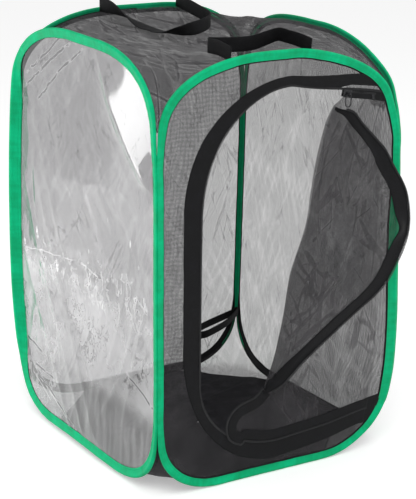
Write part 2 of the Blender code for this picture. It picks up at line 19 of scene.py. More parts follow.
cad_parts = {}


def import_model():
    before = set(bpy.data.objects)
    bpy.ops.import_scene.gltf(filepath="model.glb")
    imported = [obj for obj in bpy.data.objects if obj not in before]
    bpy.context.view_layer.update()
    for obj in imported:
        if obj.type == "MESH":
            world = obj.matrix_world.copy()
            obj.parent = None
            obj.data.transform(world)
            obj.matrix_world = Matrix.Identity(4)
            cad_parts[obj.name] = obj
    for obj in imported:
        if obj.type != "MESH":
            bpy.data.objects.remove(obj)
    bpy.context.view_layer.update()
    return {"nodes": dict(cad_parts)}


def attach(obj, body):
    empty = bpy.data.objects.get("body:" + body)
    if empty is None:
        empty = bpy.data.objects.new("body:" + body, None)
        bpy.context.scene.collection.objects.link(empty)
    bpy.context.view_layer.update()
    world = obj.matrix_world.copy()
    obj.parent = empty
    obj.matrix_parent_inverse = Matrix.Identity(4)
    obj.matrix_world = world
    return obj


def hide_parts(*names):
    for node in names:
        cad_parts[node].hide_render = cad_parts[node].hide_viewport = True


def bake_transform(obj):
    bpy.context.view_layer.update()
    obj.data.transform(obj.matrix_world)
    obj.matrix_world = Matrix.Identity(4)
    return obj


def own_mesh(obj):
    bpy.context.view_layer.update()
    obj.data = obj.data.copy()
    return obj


LOG = logging.getLogger("insect_cage")
Array = np.ndarray


class Panel(Enum):
    """The four hoops, by the quarter turns that bring the front one to their place."""

    FRONT = 0
    RIGHT = 1
    BACK = 2
    LEFT = 3

    @property
    def body(self) -> str:
        """Name of the CAD body that carries this hoop."""
        return self.name.lower()


class Slot(Enum):
    """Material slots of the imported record."""

    BINDING = "binding"
    STEEL = "spring_steel"
    MESH = "mesh"
    FILM = "film"
    TAPE = "tape"
    COIL = "zip_coil"
    FLOOR = "floor"
    WEBBING = "webbing"


# ---------------------------------------------------------------- shader maths


class Value:
    """One shader socket with operators, so that expressions add their Math nodes."""

    def __init__(self, shader: "Shader", socket: bpy.types.NodeSocket) -> None:
        """Keep the socket and the shader it belongs to."""
        self.shader = shader
        self.socket = socket

    def maths(self, operation: str, *others: "Value | float", clamp: bool = False) -> "Value":
        """Add one Math node.

        Args:
            operation: Name of the Math node's operation.
            others: The other operands.
            clamp: Whether the result is kept between 0 and 1.

        Returns:
            The node's result.
        """
        return self.shader.node("Math", {"operation": operation, "use_clamp": clamp}, self, *others)

    def __add__(self, other: "Value | float") -> "Value":
        """Sum."""
        return self.maths("ADD", other)

    __radd__ = __add__

    def __sub__(self, other: "Value | float") -> "Value":
        """Difference."""
        return self.maths("SUBTRACT", other)

    def __rsub__(self, other: float) -> "Value":
        """Difference from a number."""
        return self.shader.node("Math", {"operation": "SUBTRACT"}, other, self)

    def __mul__(self, other: "Value | float") -> "Value":
        """Product."""
        return self.maths("MULTIPLY", other)

    __rmul__ = __mul__

    def __gt__(self, other: "Value | float") -> "Value":
        """1 where this is the greater, otherwise 0."""
        return self.maths("GREATER_THAN", other)

    def __lt__(self, other: "Value | float") -> "Value":
        """1 where this is the lesser, otherwise 0."""
        return self.maths("LESS_THAN", other)

    def ramp(self, low: float, high: float, to_low: float = 0.0, to_high: float = 1.0) -> "Value":
        """Ease from one value to another between two inputs.

        Args:
            low: Input where the ramp starts.
            high: Input where it ends.
            to_low: Result at its start.
            to_high: Result at its end.

        Returns:
            The eased value.
        """
        settings = {"interpolation_type": "SMOOTHSTEP"}
        return self.shader.node("MapRange", settings, self, low, high, to_low, to_high)

    def wave(self, pitch: float) -> "Value":
        """A soft ridge that repeats along this coordinate, from 0 to 1."""
        return (self * (math.tau / pitch)).maths("SINE") * 0.5 + 0.5


class Shader:
    """A material under construction, with one method that adds any node."""

    def __init__(self, name: str) -> None:
        """Start an empty material of that name."""
        self.material = bpy.data.materials.new(name)
        self.material.use_nodes = True
        self.tree = self.material.node_tree
        self.tree.nodes.clear()

    def node(self, kind: str, settings: dict[str, object], *inputs: object, output: int = 0, **named: object) -> Value:
        """Add one node.

        Args:
            kind: The node's type, without its ShaderNode prefix.
            settings: Attributes that are set before the sockets are filled.
            inputs: Values or links for its sockets, in order; None leaves one as it is.
            output: Index of the output that is returned.
            named: Values or links for sockets by name, with _ for a space.

        Returns:
            The chosen output.
        """
        made = self.tree.nodes.new(f"ShaderNode{kind}")
        for key, value in settings.items():
            setattr(made, key, value)
        for index, value in enumerate(inputs):
            self.fill(made.inputs[index], value)
        for key, value in named.items():
            self.fill(made.inputs[key.replace("_", " ")], value)
        return Value(self, made.outputs[output])

    def fill(self, socket: bpy.types.NodeSocket, value: object) -> None:
        """Link a value to a socket, or set it there."""
        if value is None:
            return
        if isinstance(value, Value):
            self.tree.links.new(value.socket, socket)
        else:
            socket.default_value = value

    def mix(self, share: "Value | float", first: object, second: object) -> Value:
        """A colour between two colours."""
        settings = {"data_type": "RGBA", "blend_type": "MIX"}
        made = self.tree.nodes.new("ShaderNodeMix")
        for key, value in settings.items():
            setattr(made, key, value)
        self.fill(made.inputs[0], share)
        self.fill(made.inputs[6], first)
        self.fill(made.inputs[7], second)
        return Value(self, made.outputs[2])

    def object_place(self) -> Value:
        """The point in the piece's own coordinates."""
        return self.node("TexCoord", {}, output=3)

    def strip_place(self) -> tuple[Value, Value]:
        """Metres along and across the piece's cloth, from its UV map."""
        split = self.node("SeparateXYZ", {}, self.node("UVMap", {"uv_map": "cloth"}))
        return split, Value(self, split.socket.node.outputs[1])

    def noise(self, place: Value, scale: float, detail: float = 3.0, rough: float = 0.5) -> Value:
        """Cloudy noise from 0 to 1."""
        return self.node("TexNoise", {}, Vector=place, Scale=scale, Detail=detail, Roughness=rough)

    def stretched(self, place: Value, scale: tuple[float, float, float]) -> Value:
        """The place, scaled along its axes."""
        return self.node("Mapping", {}, place, Scale=scale)

    def bump(self, height: Value, depth: float, strength: float = 1.0) -> Value:
        """A normal that follows a height in metres of the given depth."""
        return self.node("Bump", {}, Strength=strength, Distance=depth, Height=height)

    def finish(self, surface: Value) -> bpy.types.Material:
        """Connect the surface to the output and return the material."""
        output = self.tree.nodes.new("ShaderNodeOutputMaterial")
        self.tree.links.new(surface.socket, output.inputs["Surface"])
        return self.material


# ---------------------------------------------------------------- finishes


@dataclass(frozen=True)
class BindingCloth:
    """Green bias binding: a matt weave, puckers, a sewn line and a black seam allowance, with painted shade on its
    faces that look into the cage and in its pucker hollows.
    """

    bright: tuple[float, float, float, float] = (0.001, 0.540, 0.235, 1.0)
    deep: tuple[float, float, float, float] = (0.000, 0.350, 0.135, 1.0)
    # painted shade colour, mixed into the faces that look into the cage
    shadow: tuple[float, float, float, float] = (0.000, 0.030, 0.012, 1.0)
    hem: tuple[float, float, float, float] = (0.006, 0.006, 0.007, 1.0)
    weave_pitch: float = 0.0008
    stitch_pitch: float = 0.0034
    stitch_line: float = 0.0040
    hem_start: float = 0.0056
    inner_hem: float = 0.0062

    def material(self) -> bpy.types.Material:
        """Build the material on the piece's cloth map, which runs along and across the binding."""
        shader = Shader("green_binding_cloth")
        split, across = shader.strip_place()
        place = shader.object_place()
        cloudy = shader.noise(place, 38.0, 4.0)
        cloth_map = shader.node("UVMap", {"uv_map": "cloth"})
        puckers = shader.noise(shader.stretched(cloth_map, (170.0, 45.0, 1.0)), 1.0, 2.0)
        weave = split.wave(self.weave_pitch) * across.wave(self.weave_pitch)
        stitch_row = ((across - self.stitch_line).maths("ABSOLUTE") < 0.00035)
        stitch = stitch_row * (split.wave(self.stitch_pitch) > 0.35)
        # inside is 1 on faces that look into the cage; it widens the black seam allowance, and at the foot that wider
        # black is painted shade
        inside = shader.node("Attribute", {"attribute_name": "inside"}, output=2)
        hem = (across + inside * self.inner_hem) > self.hem_start
        # tone: random cloudy variation plus painted shade in the pucker hollows, darker where the puckers' bump is low
        tone = shader.mix(cloudy.ramp(0.30, 0.72) * 0.6 + puckers.ramp(0.25, 0.8) * 0.4, self.deep, self.bright)
        # painted shade on the faces that look into the cage
        shaded = shader.mix((inside > 0.02) * 0.45, tone, self.shadow)
        sewn = shader.mix(stitch * 0.5, shaded, self.deep)
        height = weave * 0.12 + puckers * 0.8 - stitch_row * 0.5 + stitch * 0.35
        surface = shader.node(
            "BsdfPrincipled", {},
            Base_Color=shader.mix(hem, sewn, self.hem),
            Roughness=cloudy.ramp(0.2, 0.8, 0.50, 0.66),
            Normal=shader.bump(height, 0.0007, 0.7),
            Specular_IOR_Level=0.12,
        )
        return shader.finish(surface)


@dataclass(frozen=True)
class NetCloth:
    """Fine dark see-through net: threads both ways with clear holes between them.

    tone is the threads' colour, pale their lighter colour where the cloudy drift rises, and thread the weight of the
    weave.
    """

    name: str
    tone: tuple[float, float, float, float] = (0.022, 0.021, 0.023, 1.0)
    pale: tuple[float, float, float, float] = (0.055, 0.052, 0.056, 1.0)
    pitch: float = 0.0013
    thread: float = 0.61
    hole_alpha: float = 0.29
    thread_alpha: float = 0.78
    crease_scale: tuple[float, float, float] = (34.0, 5.0, 1.0)
    crease_turns: tuple[float, ...] = (0.20, -0.55)
    crease_alpha: float = 0.16

    def material(self) -> bpy.types.Material:
        """Build the material, with its holes in the piece's own cloth map."""
        shader = Shader(self.name)
        split, across = shader.strip_place()
        place = shader.object_place()
        drift = shader.noise(place, 14.0, 3.0)
        warp = (split + drift * 0.0010).wave(self.pitch)
        weft = (across + drift * 0.0010).wave(self.pitch)
        threads = warp.maths("MAXIMUM", weft)
        cover = threads.ramp(self.thread, self.thread + 0.22)
        alpha = cover * (self.thread_alpha - self.hole_alpha) + self.hole_alpha
        chart = shader.node("UVMap", {"uv_map": "cloth"})
        for turn in self.crease_turns:
            turned = shader.node("Mapping", {}, chart, Rotation=(0.0, 0.0, turn))
            bunched = shader.noise(shader.stretched(turned, self.crease_scale), 1.0, 2.0, 0.45)
            ridge = (bunched - 0.5).maths("ABSOLUTE").ramp(0.030, 0.0) * drift.ramp(0.40, 0.58)
            side = bunched.ramp(0.44, 0.50) * bunched.ramp(0.57, 0.51)
            alpha = alpha + ridge * self.crease_alpha - side * self.crease_alpha * 0.4
        surface = shader.node(
            "BsdfPrincipled", {},
            Base_Color=shader.mix(drift.ramp(0.3, 0.75), self.tone, self.pale),
            Roughness=drift.ramp(0.2, 0.8, 0.70, 0.85),
            Alpha=alpha,
            Normal=shader.bump(threads, 0.0003, 0.5),
            Specular_IOR_Level=0.25,
        )
        return shader.finish(surface)


@dataclass(frozen=True)
class ClearFilm:
    """Clear soft film: glossy, with a white veil in its lower half that is partly its own haze and partly painted
    reflection, painted highlights in worm-like lines, and painted shade along dark creases.
    """

    cast: tuple[float, float, float, float] = (0.745, 0.735, 0.750, 1.0)
    # the veil's white, partly the film's own haze and partly painted reflection
    milky: tuple[float, float, float, float] = (0.960, 0.955, 0.965, 1.0)
    # painted shade colour for the dark crease lines
    crushed: tuple[float, float, float, float] = (0.060, 0.058, 0.062, 1.0)
    top_veil: float = 0.0
    middle_veil: float = 0.27
    foot_veil: float = 0.14
    gloss: float = 1.30
    # dark crease lines: painted shade along folds
    dark_creases: tuple[tuple[float, float, float, float], ...] = (
        (0.186, 0.118, 0.122, 0.105), (0.174, 0.084, 0.083, 0.075), (0.150, 0.076, 0.018, 0.020),
        (-0.122, 0.155, -0.195, 0.128), (0.038, 0.583, 0.172, 0.500), (0.003, 0.582, 0.141, 0.485),
        (0.060, 0.587, 0.166, 0.519),
    )
    # pale crease lines: painted highlights along creases
    pale_creases: tuple[tuple[float, float, float, float], ...] = (
        (0.182, 0.258, 0.010, 0.280), (0.010, 0.280, -0.047, 0.273), (0.165, 0.071, 0.098, 0.038),
        (0.134, 0.062, 0.010, 0.019),
    )

    def contour(self, field_value: Value, level: float, width: float) -> Value:
        """A thin line where a cloudy field crosses a level."""
        return (field_value - level).maths("ABSOLUTE").ramp(width, width * 0.3)

    def creases(self, shader: Shader, place: Value, lines: Sequence[Sequence[float]], width: float) -> Value:
        """Thin broken creases along straight lines on the window.

        Args:
            shader: The material's nodes.
            place: Places in the window's own coordinates.
            lines: The ends of each line as (y, z, y, z).
            width: How wide each crease is.

        Returns:
            1 on a crease and 0 beside it.
        """
        parts = shader.node("SeparateXYZ", {}, place).socket.node.outputs
        wander = shader.noise(place, 22.0, 3.0) - 0.5
        broken = shader.noise(place, 60.0, 2.0).ramp(0.34, 0.46)
        across, height = Value(shader, parts[1]) + wander * 0.012, Value(shader, parts[2]) + wander * 0.012
        total: Value | float = 0.0
        for first_y, first_z, last_y, last_z in lines:
            length = math.hypot(last_y - first_y, last_z - first_z)
            run_y, run_z = (last_y - first_y) / length, (last_z - first_z) / length
            along = (across - first_y) * run_y + (height - first_z) * run_z
            beside = ((across - first_y) * -run_z + (height - first_z) * run_y).maths("ABSOLUTE")
            ends = along.ramp(-0.004, 0.010) * along.ramp(length + 0.004, length - 0.010)
            line = beside.ramp(width, width * 0.3) * ends
            total = line if isinstance(total, float) else total.maths("MAXIMUM", line)
        return total * broken

    def material(self) -> bpy.types.Material:
        """Build the material: clear where it is smooth, with painted highlights and painted shade on its creases."""
        shader = Shader("clear_creased_film")
        place = shader.object_place()
        level = Value(shader, shader.node("SeparateXYZ", {}, place).socket.node.outputs[2])
        beside = Value(shader, shader.node("SeparateXYZ", {}, place).socket.node.outputs[1])
        drift = shader.noise(place, 16.0, 2.0)
        height = level + drift * 0.05
        middle = height.ramp(0.300, 0.245) * height.ramp(0.115, 0.150)
        foot = height.ramp(0.140, 0.110)
        crumple = shader.noise(shader.stretched(place, (26.0, 34.0, 26.0)), 1.0, 3.0, 0.55)
        fine = shader.noise(shader.stretched(place, (60.0, 85.0, 48.0)), 1.0, 2.0, 0.5)
        zone = height.ramp(0.235, 0.262) * height.ramp(0.345, 0.300)
        edge_zone = height.ramp(0.15, 0.19) * height.ramp(0.285, 0.250)
        # worm lines: painted highlights in the middle zone; in the edge zone they thin the veil instead
        worms = self.contour(crumple, 0.52, 0.030) + self.contour(fine, 0.55, 0.035) * 0.8
        highlight_patches = crumple.ramp(0.46, 0.56) * fine.ramp(0.44, 0.54)
        streaks = shader.noise(shader.stretched(place, (40.0, 120.0, 9.0)), 1.0, 3.0, 0.6)
        specks = shader.noise(shader.stretched(place, (30.0, 110.0, 34.0)), 1.0, 1.0)
        # painted glints in the veil
        glints = specks.ramp(0.74, 0.78) * height.ramp(0.26, 0.30) * height.ramp(0.45, 0.38)
        haze = shader.noise(place, 6.0, 4.0)
        # veil: the white share, partly the film's own haze and partly painted reflection, with painted highlights along
        # the worm lines, the highlight mask, the glints and the pale creases
        veil = (
            haze.ramp(0.3, 0.8, 0.0, 0.06) + self.top_veil
            + middle * (self.middle_veil + haze.ramp(0.3, 0.7, -0.08, 0.08))
            + foot * (self.foot_veil + streaks.ramp(0.40, 0.66, -0.04, 0.05))
            + zone * (worms * 0.20 + highlight_patches * 0.08) * beside.ramp(0.19, 0.08, 0.5, 1.0) + glints * 0.6
            + self.creases(shader, place, self.pale_creases, 0.0010) * 0.45
            - edge_zone * (worms * 0.22 * drift.ramp(0.42, 0.55))
        ).maths("MAXIMUM", 0.02).maths("MINIMUM", 0.92)
        # dark: painted shade along noise contour lines and the listed creases
        dark = self.contour(shader.noise(shader.stretched(place, (9.0, 22.0, 14.0)), 1.0, 3.0), 0.5, 0.022)
        dark = dark * beside.ramp(0.03, 0.12) * height.ramp(0.235, 0.200) * 0.6
        dark = dark.maths("MAXIMUM", self.creases(shader, place, self.dark_creases, 0.0032))
        ridges = crumple * (middle + foot * 0.4 + zone) + fine * 0.5 * (middle + zone) + haze * 0.6
        normal = shader.bump(ridges, 0.0016, 0.7)
        clear = shader.node("BsdfTransparent", {}, self.cast)
        skin = shader.node(
            "BsdfPrincipled", {},
            Base_Color=shader.mix(dark, self.milky, self.crushed),
            Roughness=haze.ramp(0.3, 0.8, 0.35, 0.5),
            Specular_IOR_Level=0.2,
            Normal=normal,
        )
        shine = shader.node("BsdfGlossy", {}, (1.0, 1.0, 1.0, 1.0),
                            Roughness=haze.ramp(0.3, 0.8, 0.05, 0.10), Normal=normal)
        sheet = shader.node("MixShader", {}, (veil + dark * 0.85).maths("MINIMUM", 0.95), clear, skin)
        rim = shader.node("Fresnel", {}, IOR=1.45, Normal=normal)
        return shader.finish(shader.node("MixShader", {}, (rim * self.gloss).maths("MINIMUM", 0.9), sheet, shine))


@dataclass(frozen=True)
class BlackWeave:
    """Black woven tape or webbing, with ribs along or across it and dusty high spots."""

    name: str
    base: tuple[float, float, float, float] = (0.0022, 0.0022, 0.0028, 1.0)
    worn: tuple[float, float, float, float] = (0.0120, 0.0120, 0.0140, 1.0)
    rib_pitch: float = 0.0012
    rib_depth: float = 0.0004

    def material(self) -> bpy.types.Material:
        """Build the material on the piece's cloth map."""
        shader = Shader(self.name)
        split, across = shader.strip_place()
        place = shader.object_place()
        cloudy = shader.noise(place, 60.0, 4.0)
        rubbed = shader.noise(place, 240.0, 2.0)
        twill = (split + across).wave(self.rib_pitch)
        ribs = twill.maths("MAXIMUM", (split - across).wave(self.rib_pitch) * 0.7)
        tone = shader.mix(cloudy.ramp(0.35, 0.8) * 0.6 + rubbed.ramp(0.5, 0.9) * 0.4, self.base, self.worn)
        surface = shader.node(
            "BsdfPrincipled", {},
            Base_Color=tone,
            Roughness=cloudy.ramp(0.2, 0.8, 0.62, 0.80),
            Normal=shader.bump(ribs * 0.7 + rubbed * 0.3, self.rib_depth, 0.6),
            Specular_IOR_Level=0.18,
        )
        return shader.finish(surface)


@dataclass(frozen=True)
class HardFinish:
    """A smooth hard finish with cloudy tone, fine grain and rubbed places."""

    name: str
    base: tuple[float, float, float, float]
    rubbed: tuple[float, float, float, float]
    metallic: float
    roughness: float
    grain: float = 300.0

    def material(self) -> bpy.types.Material:
        """Build the material in the piece's own coordinates."""
        shader = Shader(self.name)
        place = shader.object_place()
        cloudy = shader.noise(place, self.grain, 4.0)
        fine = shader.noise(place, self.grain * 6, 2.0)
        surface = shader.node(
            "BsdfPrincipled", {},
            Base_Color=shader.mix(cloudy.ramp(0.45, 0.8), self.base, self.rubbed),
            Roughness=cloudy.ramp(0.2, 0.8, self.roughness - 0.06, self.roughness + 0.08),
            Metallic=self.metallic,
            Normal=shader.bump(fine, 0.0001, 0.3),
        )
        return shader.finish(surface)


@dataclass(frozen=True)
class StudioGround:
    """Plain white ground that keeps the cage's shadow."""

    tone: tuple[float, float, float, float] = (0.86, 0.86, 0.86, 1.0)

    def material(self) -> bpy.types.Material:
        """Build the ground: its own white shows to the camera and in glossy surfaces."""
        shader = Shader("studio_ground")
        speckle = shader.noise(shader.object_place(), 30.0, 2.0)
        paths = self.seen(shader)
        surface = shader.node(
            "BsdfPrincipled", {},
            Base_Color=shader.mix(speckle, self.tone, (0.87, 0.87, 0.87, 1.0)),
            Roughness=0.9,
            Specular_IOR_Level=0.0,
        )
        glow = shader.node("Emission", {}, (1.0, 1.0, 1.0, 1.0), 0.36)
        lifted = shader.node("AddShader", {}, surface, glow)
        return shader.finish(shader.node("MixShader", {}, paths, surface, lifted))

    def seen(self, shader: Shader) -> Value:
        """1 for camera, glossy and transmission rays."""
        paths = shader.tree.nodes.new("ShaderNodeLightPath")
        camera, glossy, through = (Value(shader, paths.outputs[name]) for name in (
            "Is Camera Ray", "Is Glossy Ray", "Is Transmission Ray"))
        return camera.maths("MAXIMUM", glossy).maths("MAXIMUM", through)


# ---------------------------------------------------------------- cloth makers


def smooth_through(points: Sequence[Sequence[float]], count: int) -> Array:
    """A smooth curve through points, sampled evenly along its length.

    Args:
        points: Points of any dimension, of which the first three give the length.
        count: Number of samples.

    Returns:
        The samples, one in each row.
    """
    knots = np.asarray(points, float)
    steps = np.linalg.norm(np.diff(knots[:, :3], axis=0), axis=1)
    places = np.concatenate([[0.0], np.cumsum(np.sqrt(np.maximum(steps, 1e-9)))])
    slopes = np.gradient(knots, places, axis=0)
    fine = np.linspace(0, places[-1], max(count * 4, 200))
    index = np.clip(np.searchsorted(places, fine, side="right") - 1, 0, len(knots) - 2)
    span = (places[index + 1] - places[index])[:, None]
    share = ((fine - places[index])[:, None]) / span
    curve = (
        (2 * share**3 - 3 * share**2 + 1) * knots[index]
        + (share**3 - 2 * share**2 + share) * span * slopes[index]
        + (3 * share**2 - 2 * share**3) * knots[index + 1]
        + (share**3 - share**2) * span * slopes[index + 1]
    )
    return evenly(curve, count)


def evenly(curve: Array, count: int) -> Array:
    """The same open line, sampled evenly along its length."""
    steps = np.linalg.norm(np.diff(curve[:, :3], axis=0), axis=1)
    lengths = np.concatenate([[0.0], np.cumsum(steps)])
    wanted = np.linspace(0, lengths[-1], count)
    return np.stack([np.interp(wanted, lengths, curve[:, axis]) for axis in range(curve.shape[1])], axis=1)


def padded(line: Array) -> Array:
    """A flat line with a third coordinate of zero."""
    return np.concatenate([line, np.zeros((len(line), 1))], axis=1)


def eased(value: Array | float, low: float, high: float) -> Array:
    """0 below the low value and 1 above the high one, with a smooth step between."""
    share = np.clip((np.asarray(value, float) - low) / (high - low), 0, 1)
    return share * share * (3 - 2 * share)


def clouds(first: Array, second: Array, seed: int) -> Array:
    """Smooth noise from -1 to 1 over two coordinates, the same at each run."""
    table = np.random.default_rng(seed).uniform(-1, 1, (64, 64))
    low_a, low_b = np.floor(first).astype(int), np.floor(second).astype(int)
    ease_a, ease_b = first - low_a, second - low_b
    ease_a = ease_a * ease_a * (3 - 2 * ease_a)
    ease_b = ease_b * ease_b * (3 - 2 * ease_b)

    def corner(step_a: int, step_b: int) -> Array:
        """The table's values at one corner of each cell."""
        return table[(low_a + step_a) % 64, (low_b + step_b) % 64]

    near = corner(0, 0) * (1 - ease_a) + corner(1, 0) * ease_a
    far = corner(0, 1) * (1 - ease_a) + corner(1, 1) * ease_a
    return near * (1 - ease_b) + far * ease_b


@dataclass(frozen=True)
class Folds:
    """Soft folds of a cloth: ridges along a direction, broken up by slower waves."""

    angle: float
    pitch: float
    height: float
    seed: int
    wander: float = 0.6
    sharp: float = 1.5

    def rise(self, first: Array, second: Array) -> Array:
        """Height of the folds over two coordinates of the cloth, in metres."""
        along = first * math.cos(self.angle) + second * math.sin(self.angle)
        past = second * math.cos(self.angle) - first * math.sin(self.angle)
        drift = clouds(along / (self.pitch * 5), past / (self.pitch * 1.6), self.seed) * self.wander
        ridge = 1 - np.abs(clouds(along / (self.pitch * 6) + 7.3, past / self.pitch + drift, self.seed + 1))
        patch = 0.5 + 0.5 * clouds(along / (self.pitch * 2.5), past / (self.pitch * 2.5), self.seed + 2)
        return self.height * (ridge**self.sharp - 0.45) * patch


def cloth_object(name: str, points: Array, cloth: Array, closed: bool = False) -> bpy.types.Object:
    """A sheet from a grid of points.

    Args:
        name: Name of the piece.
        points: Rows by columns by three coordinates.
        cloth: Rows by columns by two places on the flat cloth, in metres.
        closed: Whether the last column meets the first, as round a tube.

    Returns:
        The piece, smooth shaded, with its cloth map.
    """
    rows, columns = points.shape[:2]
    wide = columns if closed else columns - 1
    row, column = np.meshgrid(np.arange(rows - 1), np.arange(wide), indexing="ij")
    after = (column + 1) % columns
    faces = np.stack(
        [row * columns + column, row * columns + after, (row + 1) * columns + after, (row + 1) * columns + column],
        axis=-1,
    ).reshape(-1, 4)
    mesh = bpy.data.meshes.new(name)
    mesh.from_pydata(points.reshape(-1, 3).tolist(), [], faces.tolist())
    chart = mesh.uv_layers.new(name="cloth")
    if closed:
        flat = np.concatenate([cloth, cloth[:, :1]], axis=1)
        turned = np.stack([row, row, row + 1, row + 1], -1), np.stack([column, column + 1, column + 1, column], -1)
        places = flat[turned[0], turned[1]].reshape(-1, 2)
    else:
        places = cloth.reshape(-1, 2)[faces.reshape(-1)]
    chart.data.foreach_set("uv", places.astype(np.float32).ravel())
    mesh.polygons.foreach_set("use_smooth", np.ones(len(faces), bool))
    mesh.update()
    piece = bpy.data.objects.new(name, mesh)
    bpy.context.scene.collection.objects.link(piece)
    return piece


def face_outwards(piece: bpy.types.Object) -> None:
    """Merge doubles and turn the faces of a closed piece outwards, in edit mode."""
    bpy.ops.object.select_all(action="DESELECT")
    bpy.context.view_layer.objects.active = piece
    piece.select_set(True)
    bpy.ops.object.mode_set(mode="EDIT")
    bpy.ops.mesh.select_all(action="SELECT")
    bpy.ops.mesh.remove_doubles(threshold=1e-6)
    bpy.ops.mesh.normals_make_consistent(inside=False)
    bpy.ops.mesh.select_all(action="DESELECT")
    bpy.ops.object.mode_set(mode="OBJECT")
    piece.select_set(False)


def swept(name: str, path: Array, side: Array, face: Array, section: Array, ring: bool = False,
          chart: Array | None = None) -> bpy.types.Object:
    """A closed section swept along a path.

    Args:
        name: Name of the piece.
        path: Points of the path.
        side: For each point, the direction of the section's first coordinate.
        face: For each point, the direction of its second coordinate.
        section: Closed section, one for all points or one for each.
        ring: Whether the path closes on itself.
        chart: Places across the cloth for the section's points, where it is narrowed or widened.

    Returns:
        The piece, capped at its ends if its path is open.
    """
    shapes = np.broadcast_to(section, (len(path),) + section.shape[-2:])
    points = path[:, None] + shapes[..., :1] * side[:, None] + shapes[..., 1:] * face[:, None]
    closed_path = np.concatenate([path, path[:1]]) if ring else path
    steps = np.linalg.norm(np.diff(closed_path, axis=0), axis=1)
    along = np.concatenate([[0.0], np.cumsum(steps)])
    if ring:
        points = np.concatenate([points, points[:1]])
        shapes = np.concatenate([shapes, shapes[:1]])
    across = shapes[..., 0] if chart is None else np.broadcast_to(chart, shapes.shape[:2])
    cloth = np.stack([np.broadcast_to(along[:, None], shapes.shape[:2]), across], axis=-1)
    piece = cloth_object(name, points, cloth, closed=True)
    if not ring:
        cap_ends(piece, len(path), section.shape[-2])
    face_outwards(piece)
    return piece


def cap_ends(piece: bpy.types.Object, rows: int, columns: int) -> None:
    """Close both ends of an open tube of so many rows and columns with a face."""
    bpy.ops.object.select_all(action="DESELECT")
    bpy.context.view_layer.objects.active = piece
    piece.select_set(True)
    for start in (0, (rows - 1) * columns):
        bpy.ops.object.mode_set(mode="EDIT")
        bpy.ops.mesh.select_mode(type="VERT")
        bpy.ops.mesh.select_all(action="DESELECT")
        bpy.ops.object.mode_set(mode="OBJECT")
        for index in range(start, start + columns):
            piece.data.vertices[index].select = True
        bpy.ops.object.mode_set(mode="EDIT")
        bpy.ops.mesh.edge_face_add()
    bpy.ops.mesh.select_all(action="DESELECT")
    bpy.ops.object.mode_set(mode="OBJECT")
    piece.select_set(False)


def dress(piece: bpy.types.Object, material: bpy.types.Material) -> bpy.types.Object:
    """Give a piece its finish."""
    piece.data.materials.clear()
    piece.data.materials.append(material)
    LOG.info("%s: %d faces", piece.name, len(piece.data.polygons))
    return piece


# ---------------------------------------------------------------- the cage's shape


@dataclass
class Corner:
    """A rounded corner of a hoop: its reach across, its rise and its roundness."""

    reach: float
    rise: float
    roundness: float

    def arc(self, steps: int = 36) -> Array:
        """Points from the upright to the level run, about the corner's inner point."""
        turn = np.linspace(0, math.pi / 2, steps)
        across = np.maximum(np.cos(turn), 0) ** (2 / self.roundness)
        along = np.sin(turn) ** (2 / self.roundness)
        return np.stack([self.reach * across, self.rise * along], axis=1)

    def drop(self, past: Array) -> Array:
        """Drop of the hoop's middle line at a distance past the start of the corner."""
        share = np.clip(past / self.reach, 0, 1)
        return self.rise * (1 - (1 - share**self.roundness) ** (1 / self.roundness))


@dataclass(frozen=True)
class Bow:
    """One place where the standing cage bows or leans: where, which way, how far and at which height."""

    place: tuple[float, float]
    push: tuple[float, float, float]
    spread: tuple[float, float]
    profile: tuple[tuple[float, float], ...]

    def push_of(self, x: Array, y: Array, z: Array) -> Array:
        """How far the bow moves points at these places."""
        away = np.hypot((x - self.place[0]) / self.spread[0], (y - self.place[1]) / self.spread[1])
        knots = np.asarray(self.profile)
        wanted = smooth_through(np.stack([knots[:, 0], np.zeros(len(knots)), knots[:, 1]], axis=1), 200)
        amount = np.interp(z, wanted[:, 0], wanted[:, 2]) * (1 - eased(away, 0.07, 1.0))
        return amount[..., None] * np.asarray(self.push, float)


